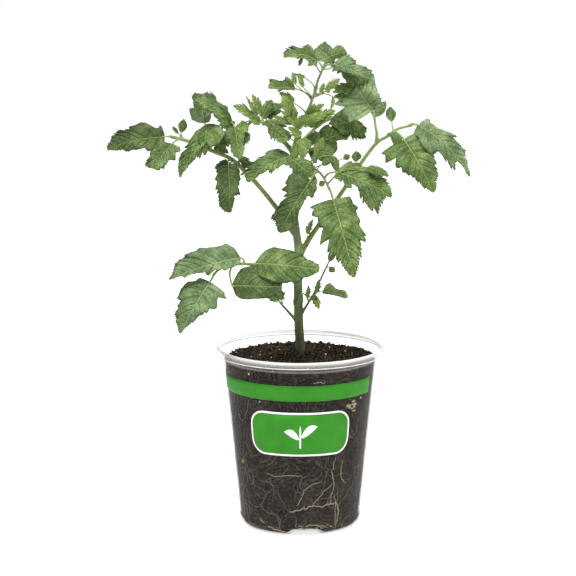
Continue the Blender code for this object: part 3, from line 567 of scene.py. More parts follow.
def lift_over_pads(points, extra=0.0, below=LOW):
    """Raises the low points of a piece over the four drainage pads, and by so much more all round."""
    x, y = points[:, 0], points[:, 1]
    rise = np.zeros_like(x)
    top = PAD_TOP + extra
    for index in range(4):
        turn = math.radians(PAD_TURN + 90 * index)
        out = x * math.cos(turn) + y * math.sin(turn)
        across = np.abs(-x * math.sin(turn) + y * math.cos(turn))
        here = np.minimum(top, top - (across - PAD_HALF_WIDTH - extra) / PAD_SLOPE)
        here = np.minimum(here, top - (PAD_INNER - extra - out))
        rise = np.maximum(rise, np.where(out > 0, here, 0))
    points[:, 2] = np.where(points[:, 2] < below, np.maximum(points[:, 2], rise), points[:, 2])


def base_arc(shrink, count):
    """The rounded corner between base and wall, drawn so much inside the outer one."""
    radius = FOOT[1] - shrink
    angles = np.radians(np.linspace(-90, -6, count))
    return [(BASE_FLAT + radius * math.cos(a), FOOT[1] + radius * math.sin(a)) for a in angles]


def lathe(name, profile, segments):
    """A circle drawn up through the profile by extruding and resizing its open edge."""
    deselect()
    radius, height = profile[0]
    bpy.ops.mesh.primitive_circle_add(vertices=segments, radius=radius * MM, location=(0, 0, height * MM))
    piece = bpy.context.object
    piece.name = piece.data.name = name
    bpy.ops.object.transform_apply(location=True, rotation=True, scale=True)
    bpy.ops.object.mode_set(mode="EDIT")
    bpy.ops.mesh.select_all(action="SELECT")
    for (r0, z0), (r1, z1) in zip(profile, profile[1:]):
        bpy.ops.mesh.extrude_edges_move(TRANSFORM_OT_translate={"value": (0, 0, (z1 - z0) * MM)})
        scale = r1 / r0
        bpy.ops.transform.resize(value=(scale, scale, 1), center_override=(0, 0, z1 * MM))
    bpy.ops.object.mode_set(mode="OBJECT")
    return piece


def face_outwards(piece, merge=False):
    """Makes the faces look outwards; merging first closes the seam of a lathed ring."""
    use_only(piece)
    bpy.ops.object.mode_set(mode="EDIT")
    bpy.ops.mesh.select_all(action="SELECT")
    if merge:
        bpy.ops.mesh.remove_doubles(threshold=0.00001)
    bpy.ops.mesh.normals_make_consistent(inside=False)
    bpy.ops.object.mode_set(mode="OBJECT")


def close_middle(piece, height, radius):
    """Fills the small hole at the axis, near that height, with a fan."""
    builder = bmesh.new()
    builder.from_mesh(piece.data)
    edges = [edge for edge in builder.edges if edge.is_boundary and all(
        math.hypot(v.co.x, v.co.y) < 1.5 * radius * MM and abs(v.co.z - height * MM) < 4 * MM
        for v in edge.verts)]
    made = bmesh.ops.contextual_create(builder, geom=edges)
    bmesh.ops.poke(builder, faces=made["faces"])
    bmesh.ops.recalc_face_normals(builder, faces=builder.faces[:])
    builder.to_mesh(piece.data)
    builder.free()


# ---- materials -------------------------------------------------------------------
# On Object coordinates a scale is cells to a metre, so 1000 is a grain of 1 mm.
def clear_pet():
    """Thermoformed recycled PET sheet: clear, a little milky, glossy, greyer where seen edge-on."""
    material, tree, out = new_material("thermoformed_clear_pet")
    coords = add_node(tree, "TexCoord").outputs["Object"]
    # Scuffs of 17 mm and finer, and the slow unevenness of the drawn sheet, about 70 mm.
    scuffs, clouds = (
        add_node(tree, "TexNoise", links={"Vector": coords, "Scale": scale, "Detail": detail}).outputs["Fac"]
        for scale, detail in ((60.0, 5.0), (14.0, 2.0)))
    # The sheet is one face thick, so its gloss rises with the slant and not with a change of medium.
    slant = add_node(tree, "LayerWeight", links={"Blend": 0.5}).outputs["Facing"]
    steep = add_node(tree, "Math", {"operation": "POWER"}, {0: slant, 1: 4.5}).outputs[0]
    haze = add_node(tree, "Math", {"operation": "MULTIPLY_ADD"}, {0: steep, 1: 0.08, 2: 0.0}).outputs[0]
    haze = add_node(tree, "Math", {"operation": "MULTIPLY_ADD"}, {0: clouds, 1: 0.018, 2: haze}).outputs[0]
    height = add_node(tree, "SeparateXYZ", links={0: coords}).outputs[2]
    # The roll of the rim is drawn thin and goes milky; the step under it carries a pale line, a painted
    # highlight.
    up_rim = add_node(tree, "MapRange", links={
        "Value": height, "From Min": 0.104, "From Max": 0.116}).outputs["Result"]
    rim = add_node(tree, "ValToRGB", links={"Fac": up_rim}, stops=[
        (0.0, 0.0), (0.22, 0.0), (0.3, 0.22), (0.38, 0.05),
        (0.6, 0.1), (0.74, 0.3), (0.82, 0.72), (0.9, 0.62)]).outputs["Color"]
    haze = add_node(tree, "Math", {"operation": "ADD", "use_clamp": True}, {0: haze, 1: rim}).outputs[0]
    rough = add_node(tree, "MapRange", links={
        "Value": scuffs, "From Min": 0.35, "From Max": 0.7, "To Min": 0.1, "To Max": 0.22}).outputs["Result"]
    bump = add_node(tree, "Bump", links={
        "Strength": 0.1, "Distance": 0.0006, "Height": clouds}).outputs["Normal"]
    tint = add_node(tree, "ValToRGB", links={"Fac": steep}, stops=[
        (0.0, "#fdfdfd"), (0.25, "#efefee"), (0.7, "#c2c2c0"), (1.0, "#8e8e8c")]).outputs["Color"]
    lip = add_node(tree, "MapRange", links={
        "Value": height, "From Min": 0.1075, "From Max": 0.111}).outputs["Result"]
    soft = add_node(tree, "Mix", {"data_type": "RGBA"}, {0: lip, 6: tint, 7: linear("#fafaf9")})
    clear = add_node(tree, "BsdfTransparent", links={"Color": soft.outputs[2]})
    milk = add_node(tree, "BsdfPrincipled", links={
        "Base Color": linear("#efede9"), "Roughness": 0.3, "Normal": bump, "IOR": 1.5})
    body = add_node(tree, "MixShader", links={
        0: haze, 1: clear.outputs[0], 2: milk.outputs[0]})
    gloss = add_node(tree, "BsdfAnisotropic", links={
        "Color": linear("#ffffff"), "Roughness": rough, "Normal": bump})
    mirror = add_node(tree, "Math", {"operation": "MULTIPLY_ADD"}, {0: steep, 1: 0.16, 2: 0.005}).outputs[0]
    mix = add_node(tree, "MixShader", links={
        0: mirror, 1: body.outputs[0], 2: gloss.outputs[0]})
    tree.links.new(mix.outputs[0], out.inputs["Surface"])
    return material


def milky_edge():
    """The trimmed edge of the PET sheet: crystallised to a milky white, with a satin gloss."""
    material, tree, out = new_material("crystallised_pet_edge")
    coords = add_node(tree, "TexCoord").outputs["Object"]
    # Whitened patches, 5 to 6 mm long.
    grain = add_node(tree, "TexNoise", links={
        "Vector": coords, "Scale": 180.0, "Detail": 3.0}).outputs["Fac"]
    base = add_node(tree, "ValToRGB", links={"Fac": grain}, stops=[
        (0.3, "#dedcd7"), (0.7, "#fbfbfa")]).outputs["Color"]
    shader = add_node(tree, "BsdfPrincipled", links={
        "Base Color": base, "Roughness": 0.3, "Alpha": 0.6})
    tree.links.new(shader.outputs[0], out.inputs["Surface"])
    return material


def printing_ink(name, colour, second):
    """UV-cured ink screened on plastic: flat colour with slight mottle and a soft gloss."""
    material, tree, out = new_material(name)
    coords = add_node(tree, "TexCoord").outputs["Object"]
    # Mottle of 8 mm from the print run, and the screen's own grain, drawn coarse at 0.7 mm.
    mottle, grain = (
        add_node(tree, "TexNoise", links={"Vector": coords, "Scale": scale, "Detail": detail}).outputs["Fac"]
        for scale, detail in ((120.0, 4.0), (1500.0, 2.0)))
    mixed = add_node(tree, "Math", {"operation": "MULTIPLY_ADD"}, {
        0: grain, 1: 0.3, 2: mottle}).outputs[0]
    base = add_node(tree, "ValToRGB", links={"Fac": mixed}, stops=[
        (0.35, colour), (0.85, second)]).outputs["Color"]
    bump = add_node(tree, "Bump", links={
        "Strength": 0.1, "Distance": 0.0001, "Height": grain}).outputs["Normal"]
    shader = add_node(tree, "BsdfPrincipled", links={
        "Base Color": base, "Roughness": 0.5, "Normal": bump, "Specular IOR Level": 0.12})
    tree.links.new(shader.outputs[0], out.inputs["Surface"])
    return material


def peat_mix(name, stops):
    """Milled sphagnum peat with bark fines: near-black brown crumbs, lighter fibres and dust."""
    material, tree, out = new_material(name)
    coords = add_node(tree, "TexCoord").outputs["Object"]
    # Clods of 11 mm, crumbs of 1.4 mm, and dust from 1.1 mm down.
    clods = add_node(tree, "TexNoise", links={
        "Vector": coords, "Scale": 90.0, "Detail": 4.0, "Roughness": 0.6}).outputs["Fac"]
    crumbs = add_node(tree, "TexVoronoi", links={"Vector": coords, "Scale": 700.0, "Randomness": 1.0})
    dust = add_node(tree, "TexNoise", links={
        "Vector": coords, "Scale": 900.0, "Detail": 6.0, "Roughness": 0.7}).outputs["Fac"]
    shade = add_node(tree, "Math", {"operation": "MULTIPLY_ADD"}, {
        0: crumbs.outputs["Distance"], 1: 0.35, 2: dust}).outputs[0]
    shade = add_node(tree, "Math", {"operation": "MULTIPLY_ADD"}, {0: clods, 1: 0.35, 2: shade}).outputs[0]
    base = add_node(tree, "ValToRGB", links={"Fac": shade}, stops=stops).outputs["Color"]
    bump = add_node(tree, "Bump", links={
        "Strength": 0.6, "Distance": 0.0005, "Height": shade}).outputs["Normal"]
    shader = add_node(tree, "BsdfPrincipled", links={
        "Base Color": base, "Roughness": 0.92, "Normal": bump, "Specular IOR Level": 0.1})
    tree.links.new(shader.outputs[0], out.inputs["Surface"])
    return material


def plain_grain(name, stops, scale, roughness):
    """A dry, fine-grained matter such as perlite, root bark or straw: tone and bump from one noise.

    Its real grain is 0.1 to 0.5 mm and wouldn't show, so the scales given draw it at 0.7 to 1.4 mm.
    """
    material, tree, out = new_material(name)
    coords = add_node(tree, "TexCoord").outputs["Object"]
    grain = add_node(tree, "TexNoise", links={
        "Vector": coords, "Scale": scale, "Detail": 5.0, "Roughness": 0.65}).outputs["Fac"]
    base = add_node(tree, "ValToRGB", links={"Fac": grain}, stops=stops).outputs["Color"]
    bump = add_node(tree, "Bump", links={
        "Strength": 0.6, "Distance": 0.0002, "Height": grain}).outputs["Normal"]
    shader = add_node(tree, "BsdfPrincipled", links={
        "Base Color": base, "Roughness": roughness, "Normal": bump, "Specular IOR Level": 0.3})
    tree.links.new(shader.outputs[0], out.inputs["Surface"])
    return material


def stem_skin():
    """Hairy green stem skin: tone and painted shade from its colour attribute, streaks along it, a soft
    bloom.
    """
    material, tree, out = new_material("hairy_stem_skin")
    tone = add_node(tree, "Attribute", {"attribute_name": "tone"}).outputs["Color"]
    coords = add_node(tree, "TexCoord").outputs["Object"]
    # The hairs are far too fine to show. They are drawn as streaks 1.1 mm wide and 5 mm long, over patches
    # of 6 mm.
    stretch = add_node(tree, "Mapping", links={"Vector": coords, "Scale": (1.0, 1.0, 0.22)}).outputs[0]
    streak = add_node(tree, "TexNoise", links={
        "Vector": stretch, "Scale": 900.0, "Detail": 4.0, "Roughness": 0.6}).outputs["Fac"]
    patch = add_node(tree, "TexNoise", links={
        "Vector": coords, "Scale": 160.0, "Detail": 3.0}).outputs["Fac"]
    gain = add_node(tree, "Math", {"operation": "MULTIPLY_ADD"}, {0: patch, 1: 0.7, 2: streak}).outputs[0]
    gain = add_node(tree, "MapRange", links={
        "Value": gain, "From Min": 0.45, "From Max": 1.2, "To Min": 0.42, "To Max": 1.2}).outputs["Result"]
    base = add_node(tree, "Mix", {"data_type": "RGBA", "blend_type": "MULTIPLY"}, {0: 1.0, 6: tone, 7: gain})
    bump = add_node(tree, "Bump", links={
        "Strength": 0.5, "Distance": 0.0003, "Height": streak}).outputs["Normal"]
    shader = add_node(tree, "BsdfPrincipled", links={
        "Base Color": base.outputs[2], "Roughness": 0.55, "Normal": bump, "Specular IOR Level": 0.3,
        "Sheen Weight": 0.25, "Sheen Roughness": 0.5, "Sheen Tint": linear("#cfd8b8")})
    tree.links.new(shader.outputs[0], out.inputs["Surface"])
    return material


# How a leaf skin's pattern is worked out. Each step is (its result, what is done, with what): LINE is a
# soft line where the first value is low, with its half width and its soft edge, and the rest are
# operations of a math node. Lateral veins lie at the halves of the count, the minor ones between them.
# The blade darkens in the furrows on both sides of a lateral, along the minor creases and at its margin:
# this darkening is painted shade.
LEAF_PATTERN = (
    ("share_out", "ABSOLUTE", "across"),
    ("count", "FRACT", "along"),
    ("off_vein", "SUBTRACT", "count", 0.5),
    ("off_vein", "ABSOLUTE", "off_vein"),
    ("double", "MULTIPLY", "along", 2.0),
    ("after_minor", "FRACT", "double"),
    ("before_minor", "SUBTRACT", 1.0, "after_minor"),
    ("off_minor", "MINIMUM", "after_minor", "before_minor"),
    ("lateral", "LINE", "off_vein", 0.0, 0.055),
    ("lateral", "MULTIPLY", "lateral", "fade"),
    ("minor", "LINE", "off_minor", 0.0, 0.12),
    ("minor", "MULTIPLY", "minor", "fade"),
    ("minor", "MULTIPLY", "minor", 0.4),
    ("midrib", "LINE", "off_rib", 0.45, 0.9),
    ("net_line", "LINE", "net", 0.0, 0.16),
    ("off_furrow_shade", "SUBTRACT", "off_vein", 0.1),
    ("off_furrow_shade", "ABSOLUTE", "off_furrow_shade"),
    ("furrow_shade", "LINE", "off_furrow_shade", 0.0, 0.1),
    ("furrow_shade", "MULTIPLY", "furrow_shade", "fade"),
    ("in_margin", "SUBTRACT", 1.0, "share_out"),
    ("margin", "LINE", "in_margin", 0.0, 0.14),
    ("tone", "MULTIPLY", "patches", 0.75),
    ("tone", "MULTIPLY_ADD", "speckle", 0.3, "tone"),
    ("tone", "MULTIPLY_ADD", "net_line", -0.11, "tone"),
    # Painted shade: the tone drops in the furrows beside a lateral, along the minor creases and at the
    # margin.
    ("tone", "MULTIPLY_ADD", "furrow_shade", -0.15, "tone"),
    ("tone", "MULTIPLY_ADD", "minor", -0.22, "tone"),
    ("tone", "MULTIPLY_ADD", "margin", -0.22, "tone"),
    ("drawn_rib", "MULTIPLY", "midrib", 0.62),
    ("drawn", "MULTIPLY", "lateral", 0.34),
    ("drawn", "MAXIMUM", "drawn", "drawn_rib"),
    ("sunk", "MAXIMUM", "lateral", "midrib"),
    ("relief", "MULTIPLY", "cells", -0.6),
    ("relief", "MULTIPLY_ADD", "sunk", -0.6, "relief"),
    ("relief", "MULTIPLY_ADD", "minor", -0.8, "relief"),
    ("relief", "MULTIPLY_ADD", "speckle", 0.4, "relief"),
    ("relief", "MULTIPLY", "relief", "outwards"),
)


def leaf_skin(name, deep, middle, light, vein, underside, sheen):
    """Tomato leaf skin: finely hairy and satin, puckered between pale veins that branch to a fine net, with
    painted shade in its creases and along its margin.

    The UV map "veins" holds the place counted in lateral veins and the share out to the margin;
    the UV map "flat" holds the place on the flattened blade, one unit for 100 mm; the UV map "rib"
    holds the distance from the midrib, in half widths of it, and the share of the way to the tip.
    """
    material, tree, out = new_material(name)
    flat = add_node(tree, "UVMap", {"uv_map": "flat"}).outputs[0]
    veins, rib = (
        add_node(tree, "SeparateXYZ", links={
            0: add_node(tree, "UVMap", {"uv_map": label}).outputs[0]}).outputs
        for label in ("veins", "rib"))
    # The net of small veins: real loops are 0.5 to 2 mm across, drawn at the coarse end, about 2.2 mm.
    net = add_node(tree, "TexVoronoi", {"feature": "DISTANCE_TO_EDGE"}, {
        "Vector": flat, "Scale": 45.0, "Randomness": 1.0}).outputs["Distance"]
    cells = add_node(tree, "TexVoronoi", {"feature": "SMOOTH_F1"}, {
        "Vector": flat, "Scale": 45.0, "Smoothness": 0.6, "Randomness": 1.0}).outputs["Distance"]
    # Tone patches of 11 mm, and a speckle of 0.9 mm for hairs and cells that are too fine to show.
    patches, speckle = (
        add_node(tree, "TexNoise", links={"Vector": flat, "Scale": scale, "Detail": detail}).outputs["Fac"]
        for scale, detail in ((9.0, 4.0), (110.0, 3.0)))
    fade = add_node(tree, "MapRange", links={
        "Value": add_node(tree, "Math", {"operation": "ABSOLUTE"}, {0: veins[1]}).outputs[0],
        "From Min": 0.25, "From Max": 1.0, "To Min": 1.0, "To Max": 0.2}).outputs["Result"]
    made = {"along": veins[0], "across": veins[1], "off_rib": rib[0], "net": net, "cells": cells,
            "patches": patches, "speckle": speckle, "fade": fade, "outwards": -1.0 if underside else 1.0}
    for result, step, *values in LEAF_PATTERN:
        inputs = [made.get(value, value) for value in values]
        if step == "LINE":
            place, half_width, soft = inputs
            made[result] = add_node(tree, "MapRange", {"interpolation_type": "SMOOTHSTEP"}, {
                "Value": place, "From Min": half_width, "From Max": half_width + soft,
                "To Min": 1.0, "To Max": 0.0}).outputs["Result"]
        else:
            made[result] = add_node(tree, "Math", {"operation": step}, dict(enumerate(inputs))).outputs[0]
    tone = made["tone"]
    blade = add_node(tree, "ValToRGB", links={"Fac": tone}, stops=[
        (0.16, deep), (0.42, middle), (0.72, light)]).outputs["Color"]
    colour = add_node(tree, "Mix", {"data_type": "RGBA"}, {0: made["drawn"], 6: blade, 7: linear(vein)})
    bump = add_node(tree, "Bump", links={
        "Strength": 0.9, "Distance": 0.0006, "Height": made["relief"]}).outputs["Normal"]
    rough = add_node(tree, "MapRange", links={
        "Value": tone, "From Min": 0.2, "From Max": 0.8, "To Min": 0.62, "To Max": 0.48}).outputs["Result"]
    shader = add_node(tree, "BsdfPrincipled", links={
        "Base Color": colour.outputs[2], "Roughness": rough, "Normal": bump, "Specular IOR Level": 0.32,
        "Sheen Weight": sheen, "Sheen Roughness": 0.5, "Sheen Tint": linear("#d5dfc4"),
        "Subsurface Weight": 0.08, "Subsurface Radius": (0.3, 0.6, 0.15), "Subsurface Scale": 0.0006})
    tree.links.new(shader.outputs[0], out.inputs["Surface"])
    return material


def studio_card(name, colour):
    """Matt white card lit from behind, as on a packshot table: nearly even, with only a faint shadow."""
    material, tree, out = new_material(name)
    shader = add_node(tree, "BsdfPrincipled", links={
        "Base Color": colour, "Roughness": 0.9, "Specular IOR Level": 0.0,
        "Emission Color": linear("#ffffff"), "Emission Strength": 0.8})
    tree.links.new(shader.outputs[0], out.inputs["Surface"])
    return material


# ---- settings --------------------------------------------------------------------
class TomatoPotSettings(bpy.types.PropertyGroup):
    segments: bpy.props.IntProperty(
        name="Segments", description="Faces round the pot", default=192, min=96, max=256)
    bead: bpy.props.FloatProperty(
        name="Bead", description="Half thickness of the bead along the rim's free edge", default=0.34 * MM,
        unit="LENGTH")
    print_colour: bpy.props.FloatVectorProperty(
        name="Print", description="Colour of the printed band and panel", subtype="COLOR", size=4,
        default=linear("#317f1f"), min=0, max=1)
    print_light: bpy.props.FloatVectorProperty(
        name="Print, lighter", description="Colour of the print where the ink is thin", subtype="COLOR",
        size=4, default=linear("#3b8c27"), min=0, max=1)


class TomatoSoilSettings(bpy.types.PropertyGroup):
    crumbs: bpy.props.IntProperty(
        name="Crumbs", description="Loose crumbs of peat on top", default=1700, min=0, max=4000)
    fibres: bpy.props.IntProperty(
        name="Fibres", description="Loose fibres on top", default=260, min=0, max=800)
    perlite: bpy.props.IntProperty(
        name="Perlite", description="White grains on top", default=55, min=0, max=400)
    roots: bpy.props.IntProperty(
        name="Roots", description="Roots that show against the wall", default=170, min=0, max=400)


class TomatoPlantSettings(bpy.types.PropertyGroup):
    leaf_cell: bpy.props.FloatProperty(
        name="Leaf cell", description="Size of the faces of a leaf blade", default=0.55 * MM, unit="LENGTH")
    leaf_thickness: bpy.props.FloatProperty(
        name="Leaf thickness", description="Thickness of a blade", default=0.26 * MM, unit="LENGTH")
    pucker: bpy.props.FloatProperty(
        name="Pucker", description="Rise of the blade between its veins", default=0.85 * MM, unit="LENGTH")
    stem_voxel: bpy.props.FloatProperty(
        name="Stem voxel", description="Size of the faces of the stem's skin", default=0.42 * MM,
        unit="LENGTH")


class TomatoStageSettings(bpy.types.PropertyGroup):
    key_power: bpy.props.FloatProperty(
        name="Key light", description="Strength of the large soft light above the viewer", default=21.0,
        unit="POWER")
    sky: bpy.props.FloatProperty(
        name="Room light", description="Even white light of the room", default=0.34, min=0)
    card: bpy.props.FloatVectorProperty(
        name="Card", description="Colour of the card under the pot", subtype="COLOR", size=4,
        default=linear("#c8c8c8"), min=0, max=1)


# ---- pot -------------------------------------------------------------------------
def pot_profile():
    profile = [(r, 0.0) for r in (HOLE, 8, 15, 20, 22.5, 25, 27.5, 30)]
    profile += base_arc(0.0, 10)
    profile += [(wall_radius(z), z) for z in np.linspace(9, 103, 26)]
    rim = smooth_route([
        (47.9, 0, 104), (48.15, 0, 106.6), (48.45, 0, 107.7), (49.25, 0, 108.7), (49.5, 0, 110.2),
        (49.6, 0, 112.4), (49.9, 0, 113.6), (50.7, 0, 114.35), (51.8, 0, 114.4), (52.8, 0, 113.8),
        (53.25, 0, 112.8), (BEAD_RADIUS, 0, 111.6), (BEAD_RADIUS, 0, 110.7)], 4)
    return profile + [(p.x, p.z) for p in rim]


class TOMATO_OT_pot(bpy.types.Operator):
    """The clear thermoformed pot with its rolled rim and four raised drainage pads."""
    bl_idname = "tomato.pot"
    bl_label = "Clear pot"

    def execute(self, context):
        settings = context.scene.tomato_pot
        pot = lathe("clear_pot", pot_profile(), settings.segments)
        points = read_points(pot.data) / MM
        lift_over_pads(points)
        write_points(pot.data, points * MM)
        close_middle(pot, 0.0, HOLE)
        face_outwards(pot)
        smooth(pot)
        pot.data.materials.append(clear_pet())
        half = settings.bead / MM
        bead = lathe("rim_bead", [
            (BEAD_RADIUS + half * math.cos(a), BEAD_HEIGHT + half * math.sin(a))
            for a in np.radians(np.linspace(0, 360, 11))], settings.segments)
        face_outwards(bead, merge=True)
        smooth(bead)
        bead.data.materials.append(milky_edge())
        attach(bead, "root")
        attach(pot, "root")
        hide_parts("pot")
        return {"FINISHED"}


# ---- print -----------------------------------------------------------------------
def wrap_on_wall(name, columns, proud, material):
    """A thin skin of ink on the wall. Columns are (angle from the front, bottom, top) in degrees and mm."""
    deselect()
    count = len(columns) - 1
    bpy.ops.mesh.primitive_grid_add(x_subdivisions=count, y_subdivisions=4, size=1.0)
    piece = bpy.context.object
    piece.name = piece.data.name = name
    flat = read_points(piece.data)
    place = (flat[:, 0] + 0.5) * count
    index = np.rint(place).astype(int)
    table = np.array(columns, dtype=float)
    angle = np.radians(table[index, 0])
    share = flat[:, 1] + 0.5
    height = table[index, 1] + (table[index, 2] - table[index, 1]) * share
    radius = wall_radius(height) + proud
    points = np.stack([radius * np.sin(angle), -radius * np.cos(angle), height], axis=1)
    write_points(piece.data, points * MM)
    skin = piece.modifiers.new("ink", "SOLIDIFY")
    skin.thickness = 0.03 * MM
    skin.offset = 1.0
    apply_modifiers(piece)
    smooth(piece)
    piece.data.materials.append(material)
    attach(piece, "root")


LABEL_HEIGHT = 67.4             # to its middle
INK_PROUD = 0.05                # each colour of ink lies this much above the one under it


def rounded_columns(half_width, half_height, corner, count=130):
    """Columns of a panel with round corners."""
    def half_at(place):
        inside = abs(place * 2 - 1) * half_width - (half_width - corner)
        if inside <= 0:
            return half_height
        return half_height - corner + math.sqrt(max(0.0, corner ** 2 - inside ** 2))

    columns = []
    for place in np.linspace(0, 1, count + 1):
        angle = math.degrees(half_width * (2 * place - 1) / wall_radius(LABEL_HEIGHT))
        columns.append((angle, LABEL_HEIGHT - half_at(place), LABEL_HEIGHT + half_at(place)))
    return columns


def leaf_columns(start, end, half):
    """Columns of a pointed leaf between two places, each mm to the right of the label's middle and up."""
    columns = []
    for place in np.linspace(0, 1, 37):
        wide = half * math.sin(math.pi * place ** 0.8) ** 0.9
        x = start[0] + (end[0] - start[0]) * place
        z = LABEL_HEIGHT + start[1] + (end[1] - start[1]) * place + 1.3 * math.sin(math.pi * place)
        columns.append((math.degrees(x / wall_radius(LABEL_HEIGHT)), z - wide, z + wide + 0.01))
    return columns


class TOMATO_OT_print(bpy.types.Operator):
    """The printed green band, and a plain panel with a leaf sprig where the pot carries its label."""
    bl_idname = "tomato.label"
    bl_label = "Print"

    def execute(self, context):
        settings = context.scene.tomato_pot
        green = printing_ink("green_screen_ink", settings.print_colour, settings.print_light)
        white = printing_ink("white_screen_ink", "#f2f3ef", "#ffffff")
        stalk = [
            (math.degrees(x / wall_radius(LABEL_HEIGHT)), LABEL_HEIGHT - 9, LABEL_HEIGHT + 6 - 6 * abs(x))
            for x in np.linspace(-0.5, 0.5, 9)]
        for name, columns, layer, ink in (
                ("green_band", [(a, 88.9, 98.9) for a in np.linspace(-108, 67, 176)], 1, green),
                ("label_edge", rounded_columns(33.4, 14.2, 10.0), 1, white),
                ("label_panel", rounded_columns(32.2, 13, 8.8), 2, green),
                ("label_leaf_right", leaf_columns((0.5, -1.8), (10.8, 5.0), 2.8), 3, white),
                ("label_leaf_left", leaf_columns((-0.5, -3.1), (-10.1, 1.7), 2.5), 3, white),
                ("label_stalk", stalk, 3, white)):
            wrap_on_wall(name, columns, layer * INK_PROUD, ink)
        return {"FINISHED"}


# ---- potting mix -----------------------------------------------------------------
BED_TOP = 107.0                 # the lathed top, before it is shaped
BED_HOLE = 1.2
MOUND = 4.2                     # rise of the mix towards the stem, over the next length
MOUND_REACH = 15
TOP_REACH = 47.0                # loose matter lies within this radius, fibres within the next
FIBRE_REACH = 47.2


def soil_top(x, y):
    """Height of the mix's surface, mm."""
    radius = math.hypot(x, y)
    height = SOIL_EDGE + MOUND * math.exp(-(radius / MOUND_REACH) ** 2) - 0.2
    height += 1.1 * noise.fractal(Vector((x, y, 3.1)) * 0.16, 1.0, 2.0, 4)
    height += 0.5 * noise.noise(Vector((x, y, 9.1)) * 0.75)
    return height


def soil_profile():
    profile = [(r, BED_FLOOR) for r in (HOLE, 8, 15, 20, 23, 26, 29)]
    profile += base_arc(BED_GAP, 9)
    profile += [(wall_radius(z) - BED_GAP, z) for z in np.linspace(7, 104, 66)]
    profile += [(47.35, 105.2), (47.3, 106.4)]
    return profile + [(r, BED_TOP) for r in np.linspace(46.9, BED_HOLE, 62)]


def scatter(name, unit_points, unit_faces, places):
    """Copies of one small shape: places are (centre, scale on X Y Z, turn about a random axis), in mm."""
    count = len(unit_points)
    points, faces = [], []
    for index, (centre, size, axis, turn) in enumerate(places):
        axis = axis / np.linalg.norm(axis)
        c, s = math.cos(turn), math.sin(turn)
        x, y, z = axis
        matrix = np.array([
            [c + x * x * (1 - c), x * y * (1 - c) - z * s, x * z * (1 - c) + y * s],
            [y * x * (1 - c) + z * s, c + y * y * (1 - c), y * z * (1 - c) - x * s],
            [z * x * (1 - c) - y * s, z * y * (1 - c) + x * s, c + z * z * (1 - c)]])
        points.append((unit_points * size) @ matrix.T + centre)
        faces.append(unit_faces + index * count)
    return mesh_piece(name, np.concatenate(points) * MM, np.concatenate(faces))


def lump(seed, roughness):
    """A low icosphere pushed about into a crumb, as points and triangles."""
    rng = np.random.default_rng(seed)
    deselect()
    bpy.ops.mesh.primitive_ico_sphere_add(subdivisions=1, radius=1.1)
    piece = bpy.context.object
    points = read_points(piece.data)
    push = 1 + rng.normal(0, roughness, (len(points), 1))
    points = points * push
    faces = np.array([list(p.vertices) for p in piece.data.polygons])
    bpy.data.objects.remove(piece, do_unlink=True)
    return points, faces


def ribbon_tube(route, radii, sides=4):
    """Points and faces of a thin tube along a route: quads, with a flat cap at both ends."""
    route = [Vector(p) for p in route]
    points, faces = [], []
    up = Vector((0.3, 0.2, 0.93))
    for i, place in enumerate(route):
        ahead = route[min(i + 1, len(route) - 1)] - route[max(i - 1, 0)]
        side = ahead.cross(up).normalized()
        over = side.cross(ahead).normalized()
        for k in range(sides):
            angle = 2 * math.pi * k / sides
            points.append(place + (side * math.cos(angle) + over * math.sin(angle)) * radii[i])
    for i in range(len(route) - 1):
        ring = i * sides
        for k in range(sides):
            following = (k + 1) % sides
            faces.append((ring + k, ring + following, ring + sides + following, ring + sides + k))
    faces.append(tuple(range(sides))[::-1])
    faces.append(tuple((len(route) - 1) * sides + k for k in range(sides)))
    return points, faces


def join_tubes(name, tubes):
    points, faces = [], []
    for tube_points, tube_faces in tubes:
        start = len(points)
        points.extend(tube_points)
        faces.extend(tuple(i + start for i in face) for face in tube_faces)
    piece = mesh_piece(name, [p * MM for p in points], faces)
    face_outwards(piece)
    return piece


def mix_body():
    """The body of the mix: a lathed form with an uneven top and sides."""
    body = lathe("potting_mix_body", soil_profile(), 180)
    points = read_points(body.data) / MM
    radius = np.hypot(points[:, 0], points[:, 1])
    lift_over_pads(points, BED_FLOOR)
    for i, (x, y, z) in enumerate(points):
        if z > BED_TOP - 0.1:
            points[i, 2] = soil_top(x, y) + 0.35 * noise.noise(Vector((x, y, 1.0)) * 1.9)
        elif z > LOW:
            place = Vector((x, y, z))
            inward = 0.1 + 0.12 * noise.noise(place * 0.5) + 0.1 * noise.noise(place * 1.3)
            points[i, :2] *= 1 - max(0.0, inward) / radius[i]
    write_points(body.data, points * MM)
    close_middle(body, BED_TOP + MOUND, BED_HOLE)
    close_middle(body, BED_FLOOR, HOLE)
    face_outwards(body)
    smooth(body)
    return body


def place_on_top(rng, size, sink, reach=TOP_REACH):
    """A place on the mix's surface, clear of the stem, for a grain that sinks in by a share of its size."""
    r, a = reach * math.sqrt(rng.random()), rng.random() * 2 * math.pi
    x, y = r * math.cos(a), r * math.sin(a)
    if math.hypot(x, y) < 3.4:
        x += 5.0
    return np.array([x, y, soil_top(x, y) + size * (0.5 - sink)])


def place_at_wall(angle, z, depth):
    r = wall_radius(z) - depth
    return np.array([r * math.cos(angle), r * math.sin(angle), z])


def crumb_places(rng, count):
    places = []
    for _ in range(count):
        size = 0.35 + 1.1 * rng.random() ** 2.2
        scale = size * np.array([1.0, 0.55 + 0.5 * rng.random(), 0.5 + 0.4 * rng.random()])
        places.append((place_on_top(rng, size, 0.3), scale, rng.normal(size=3), rng.random() * 6.28))
    return places


